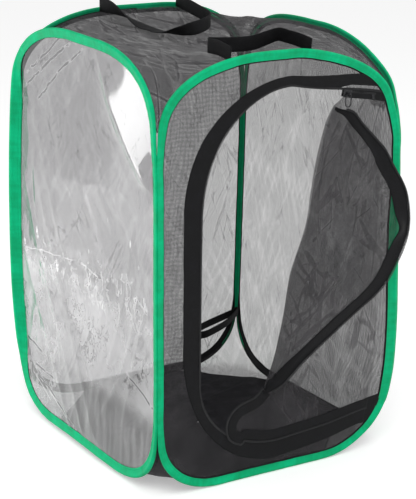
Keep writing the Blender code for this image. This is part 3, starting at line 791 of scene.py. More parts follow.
@dataclass
class CageShape:
    """Outline of the hoops and the way in which the standing cage leans and bows."""

    half_width: float = 0.200
    half_span: float = 0.1895
    top: float = 0.5935
    bottom: float = 0.0065
    sheet_plane: float = 0.1959
    top_sag: float = 0.014
    high: Corner = field(default_factory=lambda: Corner(0.156, 0.08802, 2.2))
    low: Corner = field(default_factory=lambda: Corner(0.186, 0.144, 1.8))
    foot: Corner = field(default_factory=lambda: Corner(0.100, 0.07398, 2.2))
    bows: tuple[Bow, ...] = (
        Bow((0.2, -0.2), (1, -1, 0), (0.30, 0.30), (
            (0.0, 0.0), (0.05, 0.0005), (0.10, 0.0040), (0.18, 0.0048), (0.30, 0.0015), (0.40, -0.0010),
            (0.46, -0.0028), (0.50, -0.0018), (0.53, 0.0015), (0.56, 0.0020), (0.60, 0.0010))),
        Bow((-0.2, 0.2), (-1, 1, 0), (0.30, 0.30), (
            (0.0, -0.0045), (0.06, -0.0045), (0.12, 0.0005), (0.20, 0.0050), (0.35, 0.0072), (0.47, 0.0055),
            (0.56, 0.0015), (0.60, 0.0))),
        Bow((-0.2, -0.2), (-1, 1, 0), (0.17, 0.17), (
            (0.0, -0.0032), (0.05, -0.0030), (0.15, -0.0026), (0.24, -0.0012), (0.32, 0.0), (0.40, 0.0010),
            (0.46, 0.0026), (0.50, 0.0034), (0.55, 0.0030), (0.60, 0.0010))),
        Bow((0.2, 0.03), (-1, 0, -1), (0.26, 0.20), (
            (0.0, 0.0), (0.38, 0.0), (0.48, 0.0030), (0.55, 0.0066), (0.60, 0.0080))),
        Bow((0.150, -0.2), (1, 0, 1), (0.13, 0.10), (
            (0.0, 0.0), (0.44, 0.0), (0.50, 0.0030), (0.535, 0.0058), (0.57, 0.0050), (0.60, 0.0020))),
        Bow((0.175, -0.2), (-1, 0, 1), (0.10, 0.10), (
            (0.0, 0.0060), (0.03, 0.0062), (0.07, 0.0045), (0.12, 0.0012), (0.17, 0.0), (0.60, 0.0))),
    )
    window_lift: float = 0.0075

    def side(self, corner: Corner) -> Array:
        """One side of a hoop from the middle of its foot to the middle of its top."""
        foot = self.foot.arc()[::-1] * (1, -1) + (self.half_span - self.foot.reach, self.bottom + self.foot.rise)
        head = corner.arc() + (self.half_span - corner.reach, self.top - corner.rise)
        return np.concatenate([[(0, self.bottom)], foot, head])

    def corners(self, panel: Panel) -> tuple[Corner, Corner]:
        """The top corners of a hoop, at its local left and right."""
        left = self.low if panel is Panel.RIGHT else self.high
        right = self.low if panel is Panel.FRONT else self.high
        return left, right

    def outline(self, panel: Panel, count: int) -> Array:
        """Closed outline of a hoop's middle line as (across, height), evenly spaced."""
        left, right = self.corners(panel)
        line = np.concatenate([self.side(right), self.side(left)[::-1] * (-1, 1)])
        keep = np.concatenate([[True], np.linalg.norm(np.diff(line, axis=0), axis=1) > 1e-7])
        flat = np.concatenate([line[keep], np.zeros((keep.sum(), 1))], axis=1)
        return evenly(flat, count + 1)[:-1, :2]

    def inwards(self, outline: Array) -> Array:
        """Unit directions from a closed outline to its inside."""
        along = np.roll(outline, -1, axis=0) - np.roll(outline, 1, axis=0)
        along /= np.linalg.norm(along, axis=1)[:, None]
        return np.stack([-along[:, 1], along[:, 0]], axis=1)

    def placed(self, panel: Panel, flat: Array, out: Array | float = 0.0) -> Array:
        """World points from places on a panel: across, height and distance outwards."""
        across, height = flat[..., 0], flat[..., 1]
        away = np.broadcast_to(np.asarray(out, float), across.shape)
        turn = panel.value * math.pi / 2
        x, y = across, -self.half_width - away
        return np.stack(
            [x * math.cos(turn) - y * math.sin(turn), x * math.sin(turn) + y * math.cos(turn), height], axis=-1
        )

    def settled(self, points: Array) -> Array:
        """Move points with the bows of the standing cage's uprights and its lifted foot."""
        moved = np.array(points, float)
        x, y, z = moved[..., 0].copy(), moved[..., 1].copy(), moved[..., 2].copy()
        for bow in self.bows:
            moved += bow.push_of(x, y, z)
        spread = np.clip(1 - ((y - 0.02) / 0.20) ** 2, 0, 1)
        moved[..., 2] += self.window_lift * spread * np.exp(-np.maximum(z, 0) / 0.07) * (1 - eased(x, -0.19, -0.12))
        return moved

    def roof_height(self, x: Array, y: Array) -> Array:
        """Height of the roof over a place: hung between the hoops, with a sag."""
        low_side = (x > 0) & (y < 0)
        past = np.abs(x) + np.abs(y) - self.sheet_plane
        high = self.high.drop(past - (self.half_span - self.high.reach))
        low = self.low.drop(past - (self.half_span - self.low.reach))
        sag = self.top_sag * (1 - (x / self.sheet_plane) ** 2) * (1 - (y / self.sheet_plane) ** 2)
        return self.top - np.where(low_side, low, high) - sag


@dataclass
class Hoops:
    """Four sprung hoops: a cloth binding round a steel strip, one for each panel."""

    shape: CageShape
    cloth: BindingCloth = field(default_factory=BindingCloth)
    steps: int = 420
    upright_low: float = 0.085
    upright_high: float = 0.520
    near_shift: float = 0.0036
    near_width: float = 0.0098
    rear_shift: float = 0.0038
    rear_width: float = 0.0076
    seam_thickness: float = 0.62
    wide_upright: float = 1.36
    turned_upright: float = 0.85
    window_outside: float = -0.26
    # lit_upright and the foot value below set painted light and shade on the inward faces: less painted shade on the
    # lit uprights, more at the foot
    lit_upright: float = 0.95
    dark_foot: float = 1.2
    foot_top: float = 0.05
    foot_facing: float = 0.2
    side_facing: float = -0.35
    section: tuple[tuple[float, float], ...] = (
        (-6.5, 0.0), (-6.2, 1.7), (-5.2, 2.7), (-3.7, 3.1), (-2.2, 2.8), (-0.8, 2.1), (1.0, 1.6),
        (3.0, 1.45), (3.8, 1.2), (4.2, 1.2), (5.0, 1.45), (6.1, 1.3), (6.6, 0.75), (7.2, 0.5), (7.6, 0.0),
    )

    def half_section(self) -> Array:
        """The whole closed section in metres, mirrored from its outer half."""
        half = np.asarray(self.section) / 1000
        back = half[1:-1][::-1] * (1, -1)
        return np.concatenate([half, back])

    def sections(self, panel: Panel, outline: Array) -> Array:
        """The section at each step, thinner where two bindings are sewn at the near upright."""
        base = self.half_section()
        across, height = outline[:, 0], outline[:, 1]
        none = np.zeros(len(outline), bool)
        near = {Panel.FRONT: across < 0, Panel.LEFT: across > 0}.get(panel, none)
        rear = {Panel.BACK: across < 0, Panel.RIGHT: across > 0}.get(panel, none)
        span = eased(height, self.upright_low - 0.05, self.upright_low + 0.03)
        span *= 1 - eased(height, self.upright_high - 0.07, self.upright_high + 0.02)
        share = np.where(near | rear, span, 0.0)[:, None]
        width = np.where(near, self.near_width, self.rear_width)[:, None]
        shift = np.where(near, self.near_shift, self.rear_shift)[:, None]
        whole = base[:, 0].max() - base[:, 0].min()
        narrow = -0.0065 - shift + (base[None, :, 0] + 0.0065) * (width / whole)
        wide = {Panel.FRONT: across > 0, Panel.LEFT: across < 0}.get(panel, none)
        top = 0.33 if panel is Panel.FRONT else 0.46
        broad = np.where(wide, eased(height, 0.02, 0.10) - eased(height, top, top + 0.09), 0.0)
        grown = -0.0065 + (base[None, :, 0] + 0.0065) * (1 + broad[:, None] * (self.wide_upright - 1))
        inward = grown * (1 - share) + narrow * share
        thick = base[None, :, 1] * (1 - share * (1 - self.seam_thickness))
        pucker = clouds(np.arange(len(outline)) * 0.23, height * 21, 5 + panel.value)[:, None]
        ripple = clouds(np.arange(len(outline)) * 0.9, np.zeros(len(outline)) + 0.5, 15 + panel.value)[:, None]
        curved = eased(height, 0.10, 0.03) + eased(height, 0.50, 0.58)
        inward = inward + pucker * 0.0004 * (base[None, :, 0] > 0.003)
        thick = thick * (1 + (pucker * 0.10 + ripple * 0.10 * (0.4 + curved[:, None])) * (1 - share))
        return np.stack([inward, thick], axis=-1)

    def build(self, steel: bpy.types.Material) -> None:
        """Make the bindings, strips and sleeves of all four hoops."""
        green = self.cloth.material()
        for panel in Panel:
            outline = self.shape.outline(panel, self.steps)
            inward = self.shape.inwards(outline)
            middle = self.shape.settled(self.shape.placed(panel, outline))
            edge = self.shape.settled(self.shape.placed(panel, outline + inward * 0.004))
            side = edge - middle
            side /= np.linalg.norm(side, axis=1)[:, None]
            along = np.roll(middle, -1, axis=0) - np.roll(middle, 1, axis=0)
            along /= np.linalg.norm(along, axis=1)[:, None]
            if panel is Panel.LEFT:
                upright = eased(outline[:, 1], 0.05, 0.14) - eased(outline[:, 1], 0.47, 0.56)
                turn = np.where(outline[:, 0] < 0, upright, 0.0)
                angle = (turn * self.turned_upright)[:, None]
                side = side * np.cos(angle) + np.array([1.0, 0.0, 0.0]) * np.sin(angle)
            face = np.cross(side, along)
            binding = swept(f"{panel.body}_binding_cloth", middle, side, face, self.sections(panel, outline),
                            ring=True, chart=self.half_section()[:, 0])
            dress(binding, green)
            self.mark_inside(binding, panel)
            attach(binding, panel.body)
            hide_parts(f"{panel.body}_binding")
            self.add_strip(panel, middle, side, face, outline, steel)

    def mark_inside(self, binding: bpy.types.Object, panel: Panel) -> None:
        """Mark the faces that look into the cage, where the binding gets painted shade and a wider black seam
        allowance; less on the lit uprights and more at the foot, as painted light and shade.
        """
        outward = self.shape.placed(panel, np.zeros(2), 1.0) - self.shape.placed(panel, np.zeros(2), 0.0)
        mark = binding.data.attributes.new("inside", "FLOAT", "FACE")
        plain = self.window_outside if panel is Panel.LEFT else 0.0
        rear = panel in (Panel.BACK, Panel.RIGHT)
        values = []
        for polygon in binding.data.polygons:
            x, _, z = polygon.center
            # painted light on the lit uprights, which get less painted shade, and painted shade at the foot, which gets
            # more
            upright = float(eased(z, 0.09, 0.13)) * (1 - 0.45 * float(eased(z, 0.50, 0.54))) if x > 0 else 0.0
            foot = self.dark_foot * (1 - float(eased(z, 0.020, 0.036)))
            limit = self.foot_facing if rear and z < self.foot_top else self.side_facing
            inner = polygon.normal.dot(Vector(outward)) < limit
            values.append(1.0 - self.lit_upright * upright + foot if inner else plain)
        mark.data.foreach_set("value", values)

    def add_strip(self, panel: Panel, middle: Array, side: Array, face: Array, outline: Array,
                  steel: bpy.types.Material) -> None:
        """Make the hidden steel strip and its sleeve, which follow the bowed binding."""
        pocket = self.sections(panel, outline)[:, 3:5].mean(axis=1)
        inner = middle + side * pocket[:, :1]
        squeezed = np.stack([np.ones(len(outline)), np.minimum(1, pocket[:, 1] / 0.0031)], axis=-1)[:, None]
        flat = np.array([(-0.5, -1.5), (0.4, -1.5), (0.4, 1.5), (-0.5, 1.5)]) / 1000
        strip = swept(f"{panel.body}_spring", inner, side, face, flat[None] * squeezed, ring=True)
        dress(strip, steel)
        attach(strip, panel.body)
        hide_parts(f"{panel.body}_strip")
        chosen = np.nonzero((outline[:, 0] > 0.15) & (np.abs(outline[:, 1] - 0.290) < 0.0145))[0]
        outer = np.array([(-1.2, -2.0), (1.2, -2.0), (1.3, -1.7), (1.3, 1.7), (1.2, 2.0), (-1.2, 2.0),
                          (-1.3, 1.7), (-1.3, -1.7)]) / 1000
        sleeve = swept(f"{panel.body}_crimp", inner[chosen], side[chosen], face[chosen], outer[None] * squeezed[chosen])
        dress(sleeve, steel)
        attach(sleeve, panel.body)
        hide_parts(f"{panel.body}_sleeve")


@dataclass
class SidePanels:
    """The plain sheets sewn into three hoops: the clear window and two nets."""

    shape: CageShape
    tuck: float = 0.0035
    columns: int = 110
    rows: int = 170
    window_folds: tuple[Folds, ...] = (
        Folds(-1.05, 0.050, 0.0040, 11, 0.8, 2.2),
        Folds(1.25, 0.034, 0.0028, 12, 0.9, 2.5),
        Folds(0.10, 0.075, 0.0022, 13, 0.8, 2.0),
    )
    ridge: tuple[tuple[float, float], tuple[float, float]] = ((0.028, 0.590), (0.189, 0.428))
    ridge_height: float = 0.0095
    ridge_bow: float = 0.008
    turned_depth: float = 0.0082
    net_folds: tuple[Folds, ...] = (
        Folds(1.35, 0.046, 0.0034, 21, 0.7, 2.6),
        Folds(1.75, 0.080, 0.0042, 22, 0.6, 2.0),
    )

    def grid(self, panel: Panel) -> Array:
        """Places on a panel, row by row from its foot to its top, out to the hoop."""
        outline = self.shape.outline(panel, 900)
        outline = outline - self.shape.inwards(outline) * self.tuck
        low, high = outline[:, 1].argmin(), outline[:, 1].argmax()
        rolled = np.roll(outline, -low, axis=0)
        top = (high - low) % len(outline)
        right = rolled[: top + 1]
        left = np.concatenate([rolled[top:], rolled[:1]])[::-1]
        share = np.linspace(0, 1, self.rows)
        share = 0.45 * share + 0.55 * (1 - np.cos(math.pi * share)) / 2
        bottom, crown = outline[low, 1] + 0.0002, outline[high, 1] - 0.0002
        height = bottom + (crown - bottom) * share
        ends = [np.interp(height, np.maximum.accumulate(side[:, 1]), side[:, 0]) for side in (left, right)]
        across = np.linspace(0, 1, self.columns)
        places = ends[0][:, None] * (1 - across) + ends[1][:, None] * across
        return np.stack([places, np.broadcast_to(height[:, None], places.shape)], axis=-1)

    def slack(self, flat: Array) -> Array:
        """0 at the hoop, rising to 1 away from it."""
        across = np.linspace(0, 1, flat.shape[1])[None, :]
        edge = np.minimum(across, 1 - across) * (flat[:, -1:, 0] - flat[:, :1, 0])
        height = np.minimum(flat[..., 1] - flat[:1, :1, 1], flat[-1:, :1, 1] - flat[..., 1])
        return eased(edge, 0.002, 0.030) * eased(height, 0.002, 0.030)

    def build(self, net: bpy.types.Material) -> None:
        """Make the window and the nets of the right and back hoops."""
        film = ClearFilm().material()
        jobs = (
            (Panel.LEFT, "clear_window", "left_window", film, Slot.FILM, self.window_folds),
            (Panel.RIGHT, "right_net", "right_mesh", net, Slot.MESH, self.net_folds),
            (Panel.BACK, "back_net", "back_mesh", net, Slot.MESH, self.net_folds),
        )
        for panel, name, node, finish, slot, folds in jobs:
            flat = self.grid(panel)
            away = sum(fold.rise(flat[..., 0] + panel.value, flat[..., 1]) for fold in folds)
            if panel is Panel.LEFT:
                away = away + self.corner_pulls(flat)
            away = away * self.slack(flat)
            if panel is Panel.LEFT:
                away = away * (1 - 0.75 * eased(flat[..., 1], 0.30, 0.40))
                ridge, alone = self.taut_ridge(flat)
                away = away * (1 - alone) + ridge - self.turned_edge(flat)
            points = self.shape.settled(self.shape.placed(panel, flat, away))
            piece = cloth_object(name, points, flat)
            dress(piece, finish)
            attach(piece, panel.body)
            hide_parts(node)

    def corner_pulls(self, flat: Array) -> Array:
        """Long folds that fan out over the window from its upper far corner."""
        x, z = flat[..., 0] + 0.150, flat[..., 1] - 0.600
        far = np.hypot(x, z)
        turn = np.arctan2(x, -z)
        fan = 1 - np.abs(clouds(turn * 9 + 3.1, far * 4, 31))
        return 0.0012 * (fan**3 - 0.3) * eased(far, 0.02, 0.10) * (1 - eased(far, 0.22, 0.42))

    def turned_edge(self, flat: Array) -> Array:
        """How far the window's rear edge goes in with its turned binding."""
        height, from_rear = flat[..., 1], flat[..., 0] - flat[:, :1, 0]
        turned = eased(height, 0.05, 0.14) - eased(height, 0.47, 0.56)
        return self.turned_depth * turned * (1 - eased(from_rear, 0.006, 0.170))

    def taut_ridge(self, flat: Array) -> tuple[Array, Array]:
        """A taut fold from the top of the window down to its near seam.

        Args:
            flat: Places on the window.

        Returns:
            The fold's height, and its share in which no other fold shows.
        """
        outline = self.shape.outline(Panel.LEFT, 360)
        outline = outline - self.shape.inwards(outline) * self.tuck
        edge = np.array([np.linalg.norm(row[:, None] - outline[None], axis=-1).min(axis=1) for row in flat])
        (top_x, top_z), (low_x, low_z) = self.ridge
        length = math.hypot(low_x - top_x, low_z - top_z)
        run_x, run_z = (low_x - top_x) / length, (low_z - top_z) / length
        along = (flat[..., 0] - top_x) * run_x + (flat[..., 1] - top_z) * run_z
        past = (flat[..., 0] - top_x) * -run_z + (flat[..., 1] - top_z) * run_x
        past = past + self.ridge_bow * np.sin(math.pi * np.clip(along / length, 0, 1))
        inside = eased(along, -0.01, 0.10) * (1 - eased(along, length - 0.022, length + 0.012))
        facet = edge / np.maximum(edge + np.maximum(past, 0), 1e-6)
        slope = np.where(past > 0, facet, np.exp(np.minimum(past, 0) / 0.014))
        return self.ridge_height * slope * inside, inside * eased(past, -0.010, 0.0)


@dataclass
class DoorShape:
    """Lines of the door: the frame's outer edge, the zip's line and the fold."""

    shape: CageShape
    left: float = -0.160
    crown: float = 0.002
    right: float = 0.160
    top: float = 0.564
    top_right: float = 0.548
    bottom: float = 0.021
    bottom_right: float = 0.038
    top_corner: float = 0.175
    bottom_corner: float = 0.180
    tape_side: float = 0.029
    tape_top: float = 0.015
    tape_top_right: float = 0.028
    tape_bottom: float = 0.028
    tape_bottom_right: float = 0.024
    inner_top_corner: float = 0.170
    inner_bottom_corner: float = 0.105
    crease: tuple[tuple[float, float, float], ...] = (
        (0.0723, -0.2033, 0.5170), (0.0651, -0.2036, 0.5015), (0.0487, -0.2040, 0.4383),
        (0.0423, -0.2042, 0.4042), (0.0350, -0.2044, 0.3557), (0.0190, -0.2044, 0.3115),
        (0.0110, -0.2042, 0.2883), (0.0008, -0.2040, 0.2249), (-0.0125, -0.2036, 0.1660),
        (-0.0245, -0.2032, 0.1344),
    )
    flap_edge: tuple[tuple[float, float, float], ...] = (
        (0.0745, -0.2085, 0.5150), (0.0945, -0.2130, 0.5088), (0.1078, -0.2170, 0.4925),
        (0.1260, -0.2210, 0.4734), (0.1438, -0.2250, 0.4535), (0.1531, -0.2280, 0.4363),
        (0.1632, -0.2300, 0.4200), (0.1702, -0.2310, 0.4095), (0.1789, -0.2330, 0.3904),
        (0.1845, -0.2350, 0.3571), (0.1845, -0.2340, 0.3308), (0.1781, -0.2330, 0.3081),
        (0.1698, -0.2310, 0.2883), (0.1577, -0.2290, 0.2660), (0.1401, -0.2260, 0.2473),
        (0.1146, -0.2220, 0.2280), (0.0960, -0.2200, 0.2143), (0.0716, -0.2170, 0.1953),
        (0.0316, -0.2130, 0.1641), (-0.0021, -0.2100, 0.1339), (-0.0262, -0.2065, 0.1230),
    )
    leaf_toe: tuple[tuple[float, float], ...] = (
        (-0.0262, 0.1300), (-0.0377, 0.1172), (-0.0558, 0.1119), (-0.0704, 0.1059), (-0.0814, 0.0934),
        (-0.0842, 0.0792), (-0.0786, 0.0640), (-0.0600, 0.0535),
    )

    def line(self, left: float, top: float, top_right: float, bottom: float, bottom_right: float,
             top_corner: float, bottom_corner: float, count: int = 360) -> Array:
        """A door outline from its upper right end round to its lower right end."""
        turn = np.linspace(math.pi / 2, math.pi, 60)
        head = np.stack([self.crown + (self.crown - left) * np.cos(turn),
                         top - top_corner + top_corner * np.sin(turn)], axis=1)
        turn = np.linspace(math.pi, math.pi * 1.5, 60)
        foot = np.stack([self.crown + (self.crown - left) * np.cos(turn),
                         bottom + bottom_corner + bottom_corner * np.sin(turn)], axis=1)
        raw = np.concatenate([[(self.right, top_right)], head, foot, [(self.right, bottom_right)]])
        return evenly(padded(raw), count)[:, :2]

    def outer(self) -> Array:
        """Outer edge of the fixed tape."""
        return self.line(self.left, self.top, self.top_right, self.bottom, self.bottom_right,
                         self.top_corner, self.bottom_corner)

    def chain(self) -> Array:
        """Line on which the zip closes."""
        return self.line(self.left + self.tape_side, self.top - self.tape_top, self.top_right - self.tape_top_right,
                         self.bottom + self.tape_bottom, self.bottom_right + self.tape_bottom_right,
                         self.inner_top_corner, self.inner_bottom_corner)

    def beside(self, line: Array, amount: float) -> Array:
        """An open line moved towards the inside of the opening, with its ends kept in place across."""
        along = np.gradient(line, axis=0)
        along /= np.linalg.norm(along, axis=1)[:, None]
        moved = line + np.stack([-along[:, 1], along[:, 0]], axis=1) * amount
        moved[0, 0], moved[-1, 0] = line[0, 0], line[-1, 0]
        return moved

    def inside_hoop(self, flat: Array, margin: float) -> Array:
        """Pull places that leave the front hoop back to a margin inside its middle line."""
        centre = np.array([0.0, 0.29])
        outline = self.shape.outline(Panel.FRONT, 900)
        outline = outline + self.shape.inwards(outline) * margin
        angle = np.arctan2(outline[:, 1] - centre[1], outline[:, 0] - centre[0])
        order = np.argsort(angle)
        reach = np.linalg.norm(outline - centre, axis=1)[order]
        offset = flat - centre
        limit = np.interp(np.arctan2(offset[..., 1], offset[..., 0]), angle[order], reach, period=math.tau)
        far = np.linalg.norm(offset, axis=-1)
        return centre + offset * np.minimum(1, limit / np.maximum(far, 1e-9))[..., None]

    def chain_height(self, across: float) -> float:
        """Height of the zip's upper run at a place across the door."""
        share = (across - self.crown) / (self.right - self.crown)
        high = self.top - self.tape_top
        return high + (self.top_right - self.tape_top_right - high) * share


@dataclass
class DoorFrame:
    """The front net and the fixed half of the zip round the opening."""

    door: DoorShape
    tape_half: float = 0.0008
    end_lift: float = 0.0050
    top_slope: float = -0.18
    foot_slope: float = 0.11
    folds: tuple[Folds, ...] = (Folds(1.45, 0.040, 0.0022, 41, 0.7, 2.2), Folds(0.9, 0.060, 0.0020, 42, 0.7, 2.0))

    def build(self, net: bpy.types.Material, tape: bpy.types.Material, tooth: "ZipTooth") -> None:
        """Make the net, the tapes and the rows of coils that stay on the front hoop."""
        self.add_net(net)
        self.add_tape(tape)
        self.add_run_outs(tape)
        self.add_closed_tape(tape)
        tooth.build()
        chain = self.door.chain()
        shape = self.door.shape
        seen = chain[chain[:, 0] < 0.158]
        row = shape.settled(shape.placed(Panel.FRONT, self.door.beside(seen, -0.0020), 0.0))
        coil = tooth.row("frame_coil_row", row, outward=True)
        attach(coil, "front")
        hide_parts("door_frame_coil")
        across = np.linspace(0.0845, 0.1360, 60)
        below = np.stack([across, np.array([self.door.chain_height(x) for x in across]) - 0.0020], axis=1)
        row = shape.settled(shape.placed(Panel.FRONT, below, 0.0))
        coil = tooth.row("closed_coil_row", row, outward=False)
        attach(coil, "front")
        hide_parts("closed_coil")

    def add_net(self, net: bpy.types.Material) -> None:
        """The net between the hoop and the tape, as one ring."""
        shape = self.door.shape
        centre = np.array([0.0, 0.29])
        turn = np.linspace(-math.pi, math.pi, 421)
        outline = shape.outline(Panel.FRONT, 900)
        outline = outline - shape.inwards(outline) * 0.0035
        outer_line = self.door.inside_hoop(self.door.outer(), 0.003)
        hole = self.door.beside(outer_line, 0.0125)
        hole[:, 1] -= np.where(hole[:, 1] > 0.4, 0.0135 * eased(hole[:, 0], 0.078, 0.098), 0.0)
        hole = np.concatenate([hole, [(0.1600, 0.041), (0.1600, 0.20), (0.1600, 0.50)]])
        reaches = []
        for line in (outline, hole):
            dense = evenly(padded(np.concatenate([line, line[:1]])), 4000)
            angle = np.arctan2(dense[:, 1] - centre[1], dense[:, 0] - centre[0])
            order = np.argsort(angle)
            far = np.linalg.norm(dense[:, :2] - centre, axis=1)[order]
            reaches.append(np.interp(turn, angle[order], far, period=math.tau))
        far, near = reaches[0], np.minimum(reaches[1], reaches[0] - 0.001)
        share = np.linspace(0, 1, 17)[:, None]
        reach = near[None] * share + far[None] * (1 - share)
        flat = np.stack([centre[0] + reach * np.cos(turn), centre[1] + reach * np.sin(turn)], axis=-1)
        width = (far - near)[None]
        calm = np.sin(math.pi * share) * eased(width, 0.01, 0.06)
        away = sum(fold.rise(flat[..., 0], flat[..., 1]) for fold in self.folds) * calm
        points = shape.settled(shape.placed(Panel.FRONT, flat, away))
        piece = cloth_object("front_net", points[::-1], flat[::-1])
        dress(piece, net)
        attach(piece, "front")
        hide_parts("front_mesh")

    def band(self, name: str, inner: Array, outer: Array, out: Array | float, half: float) -> bpy.types.Object:
        """A flat closed band between two lines on the front panel.

        Args:
            name: Name of the piece.
            inner: One edge, as places on the panel.
            outer: The other edge, point for point.
            out: Distance of its middle outwards from the panel.
            half: Half of its thickness.

        Returns:
            The band.
        """
        shape = self.door.shape
        share = np.array([0.0, 0.03, 0.10, 0.35, 0.65, 0.90, 0.97, 1.0])
        rise = np.array([0.4, 0.9, 1.0, 1.0, 1.0, 1.0, 0.9, 0.4])
        across = np.concatenate([share, share[::-1]])
        rise = np.concatenate([rise, -rise[::-1]])
        flat = inner[:, None] * (1 - across)[None, :, None] + outer[:, None] * across[None, :, None]
        wave = clouds(flat[..., 0] * 45, flat[..., 1] * 45, 51) * 0.0007
        points = shape.settled(shape.placed(Panel.FRONT, flat, out + rise[None] * half + wave))
        steps = np.linalg.norm(np.diff(outer, axis=0), axis=1)
        along = np.concatenate([[0.0], np.cumsum(steps)])[:, None]
        width = np.linalg.norm(outer - inner, axis=1)[:, None] * across[None]
        cloth = np.stack([np.broadcast_to(along, width.shape), width], axis=-1)
        piece = cloth_object(name, points, cloth, closed=True)
        cap_ends(piece, len(points), len(across))
        face_outwards(piece)
        return piece

    def add_tape(self, tape: bpy.types.Material) -> None:
        """The broad fixed tape round the opening."""
        outer = self.door.inside_hoop(self.door.outer(), 0.0055)
        inner = self.door.beside(self.door.chain(), -0.0026)
        high = (inner[:, 1] > 0.4)
        inner[:, 1] += np.where(high, self.end_lift * eased(inner[:, 0], 0.070, 0.098), 0.0)
        inner = self.door.inside_hoop(inner, 0.0055)
        piece = self.band("frame_tape", inner, outer, 0.0004, self.tape_half)
        dress(piece, tape)
        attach(piece, "front")
        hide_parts("door_frame_tape")

    def add_run_outs(self, tape: bpy.types.Material) -> None:
        """The tapes' ends beyond the hinge line, out to the hoop's binding."""
        chain = self.door.chain()
        run_outs = (
            ("upper_run_out", chain[0] + (0.0, 0.0135), 0.0055, 0.0055),
            ("lower_run_out", chain[-1], 0.0150, 0.0240),
        )
        for name, end, above, below in run_outs:
            across = np.linspace(self.door.right - 0.004, self.door.right + 0.030, 16)
            slope = self.top_slope if end[1] > 0.3 else self.foot_slope
            middle = np.stack([across, end[1] + (across - self.door.right) * slope], axis=1)
            upper = self.door.inside_hoop(middle + (0.0, above), 0.0055)
            lower = self.door.inside_hoop(middle - (0.0, below), 0.0055)
            piece = self.band(name, upper, lower, 0.0002, self.tape_half)
            dress(piece, tape)
            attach(piece, "front")
            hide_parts("door_frame_tape")

    def add_closed_tape(self, tape: bpy.types.Material) -> None:
        """The tape under the run of zip that is still closed."""
        across = np.linspace(0.0935, 0.1680, 40)
        upper = np.stack([across, np.array([self.door.chain_height(x) for x in across]) + 0.0022], axis=1)
        lower = upper - (0.0, 0.0120)
        upper = self.door.inside_hoop(upper, 0.0055)
        piece = self.band("closed_zip_tape", upper, lower, 0.0003, self.tape_half)
        dress(piece, tape)
        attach(piece, "front")
        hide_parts("closed_tape")


@dataclass
class ZipTooth:
    """One loop of the nylon coil, modelled once and copied along each row."""

    finish: HardFinish
    pitch: float = 0.0016
    length: float = 0.0032
    width: float = 0.0010
    height: float = 0.0026
    head: float = 1.25
    points: Array = field(default_factory=lambda: np.zeros((0, 3)))
    faces: list[list[int]] = field(default_factory=list)
    material: bpy.types.Material | None = None

    def build(self) -> None:
        """Model the loop from a cube: a wider head and softened edges."""
        bpy.ops.object.select_all(action="DESELECT")
        bpy.ops.mesh.primitive_cube_add(size=1, location=(0, 0, 0))
        tooth = bpy.context.active_object
        tooth.name = "zip_loop"
        bpy.ops.object.mode_set(mode="EDIT")
        bpy.ops.mesh.select_all(action="SELECT")
        bpy.ops.transform.resize(value=(self.length, self.height, self.width))
        bpy.ops.mesh.bevel(offset=self.width * 0.3, segments=1, affect="EDGES")
        bpy.ops.mesh.select_all(action="DESELECT")
        bpy.ops.object.mode_set(mode="OBJECT")
        self.points = np.array([vertex.co for vertex in tooth.data.vertices])
        self.faces = [list(polygon.vertices) for polygon in tooth.data.polygons]
        bpy.data.objects.remove(tooth, do_unlink=True)
        self.material = self.finish.material()

    def row(self, name: str, line: Array, outward: bool) -> bpy.types.Object:
        """Copies of the loop along a line in the world.

        Args:
            name: Name of the piece.
            line: Points of the line.
            outward: Whether the loops' heads point to the other side of the line.

        Returns:
            All the loops of the row, as one piece.
        """
        length = np.linalg.norm(np.diff(line, axis=0), axis=1).sum()
        spots = evenly(line, max(int(length / self.pitch), 2))
        along = np.gradient(spots, axis=0)
        along /= np.linalg.norm(along, axis=1)[:, None]
        out = np.array([0.0, -1.0, 0.0])
        side = np.cross(along, out)
        side /= np.linalg.norm(side, axis=1)[:, None]
        face = np.cross(side, along)
        sign = 1.0 if outward else -1.0
        shape = self.points.copy()
        shape[:, 2] *= np.where(shape[:, 0] > 0, self.head, 1.0)
        points = (
            spots[:, None]
            + shape[None, :, :1] * side[:, None] * sign
            + shape[None, :, 1:2] * face[:, None]
            + shape[None, :, 2:] * along[:, None] * sign
        )
        count = len(self.points)
        faces = [[index + shift * count for index in face_] for shift in range(len(spots)) for face_ in self.faces]
        mesh = bpy.data.meshes.new(name)
        mesh.from_pydata(points.reshape(-1, 3).tolist(), [], faces)
        mesh.update()
        piece = bpy.data.objects.new(name, mesh)
        bpy.context.scene.collection.objects.link(piece)
        face_outwards(piece)
        return dress(piece, self.material)


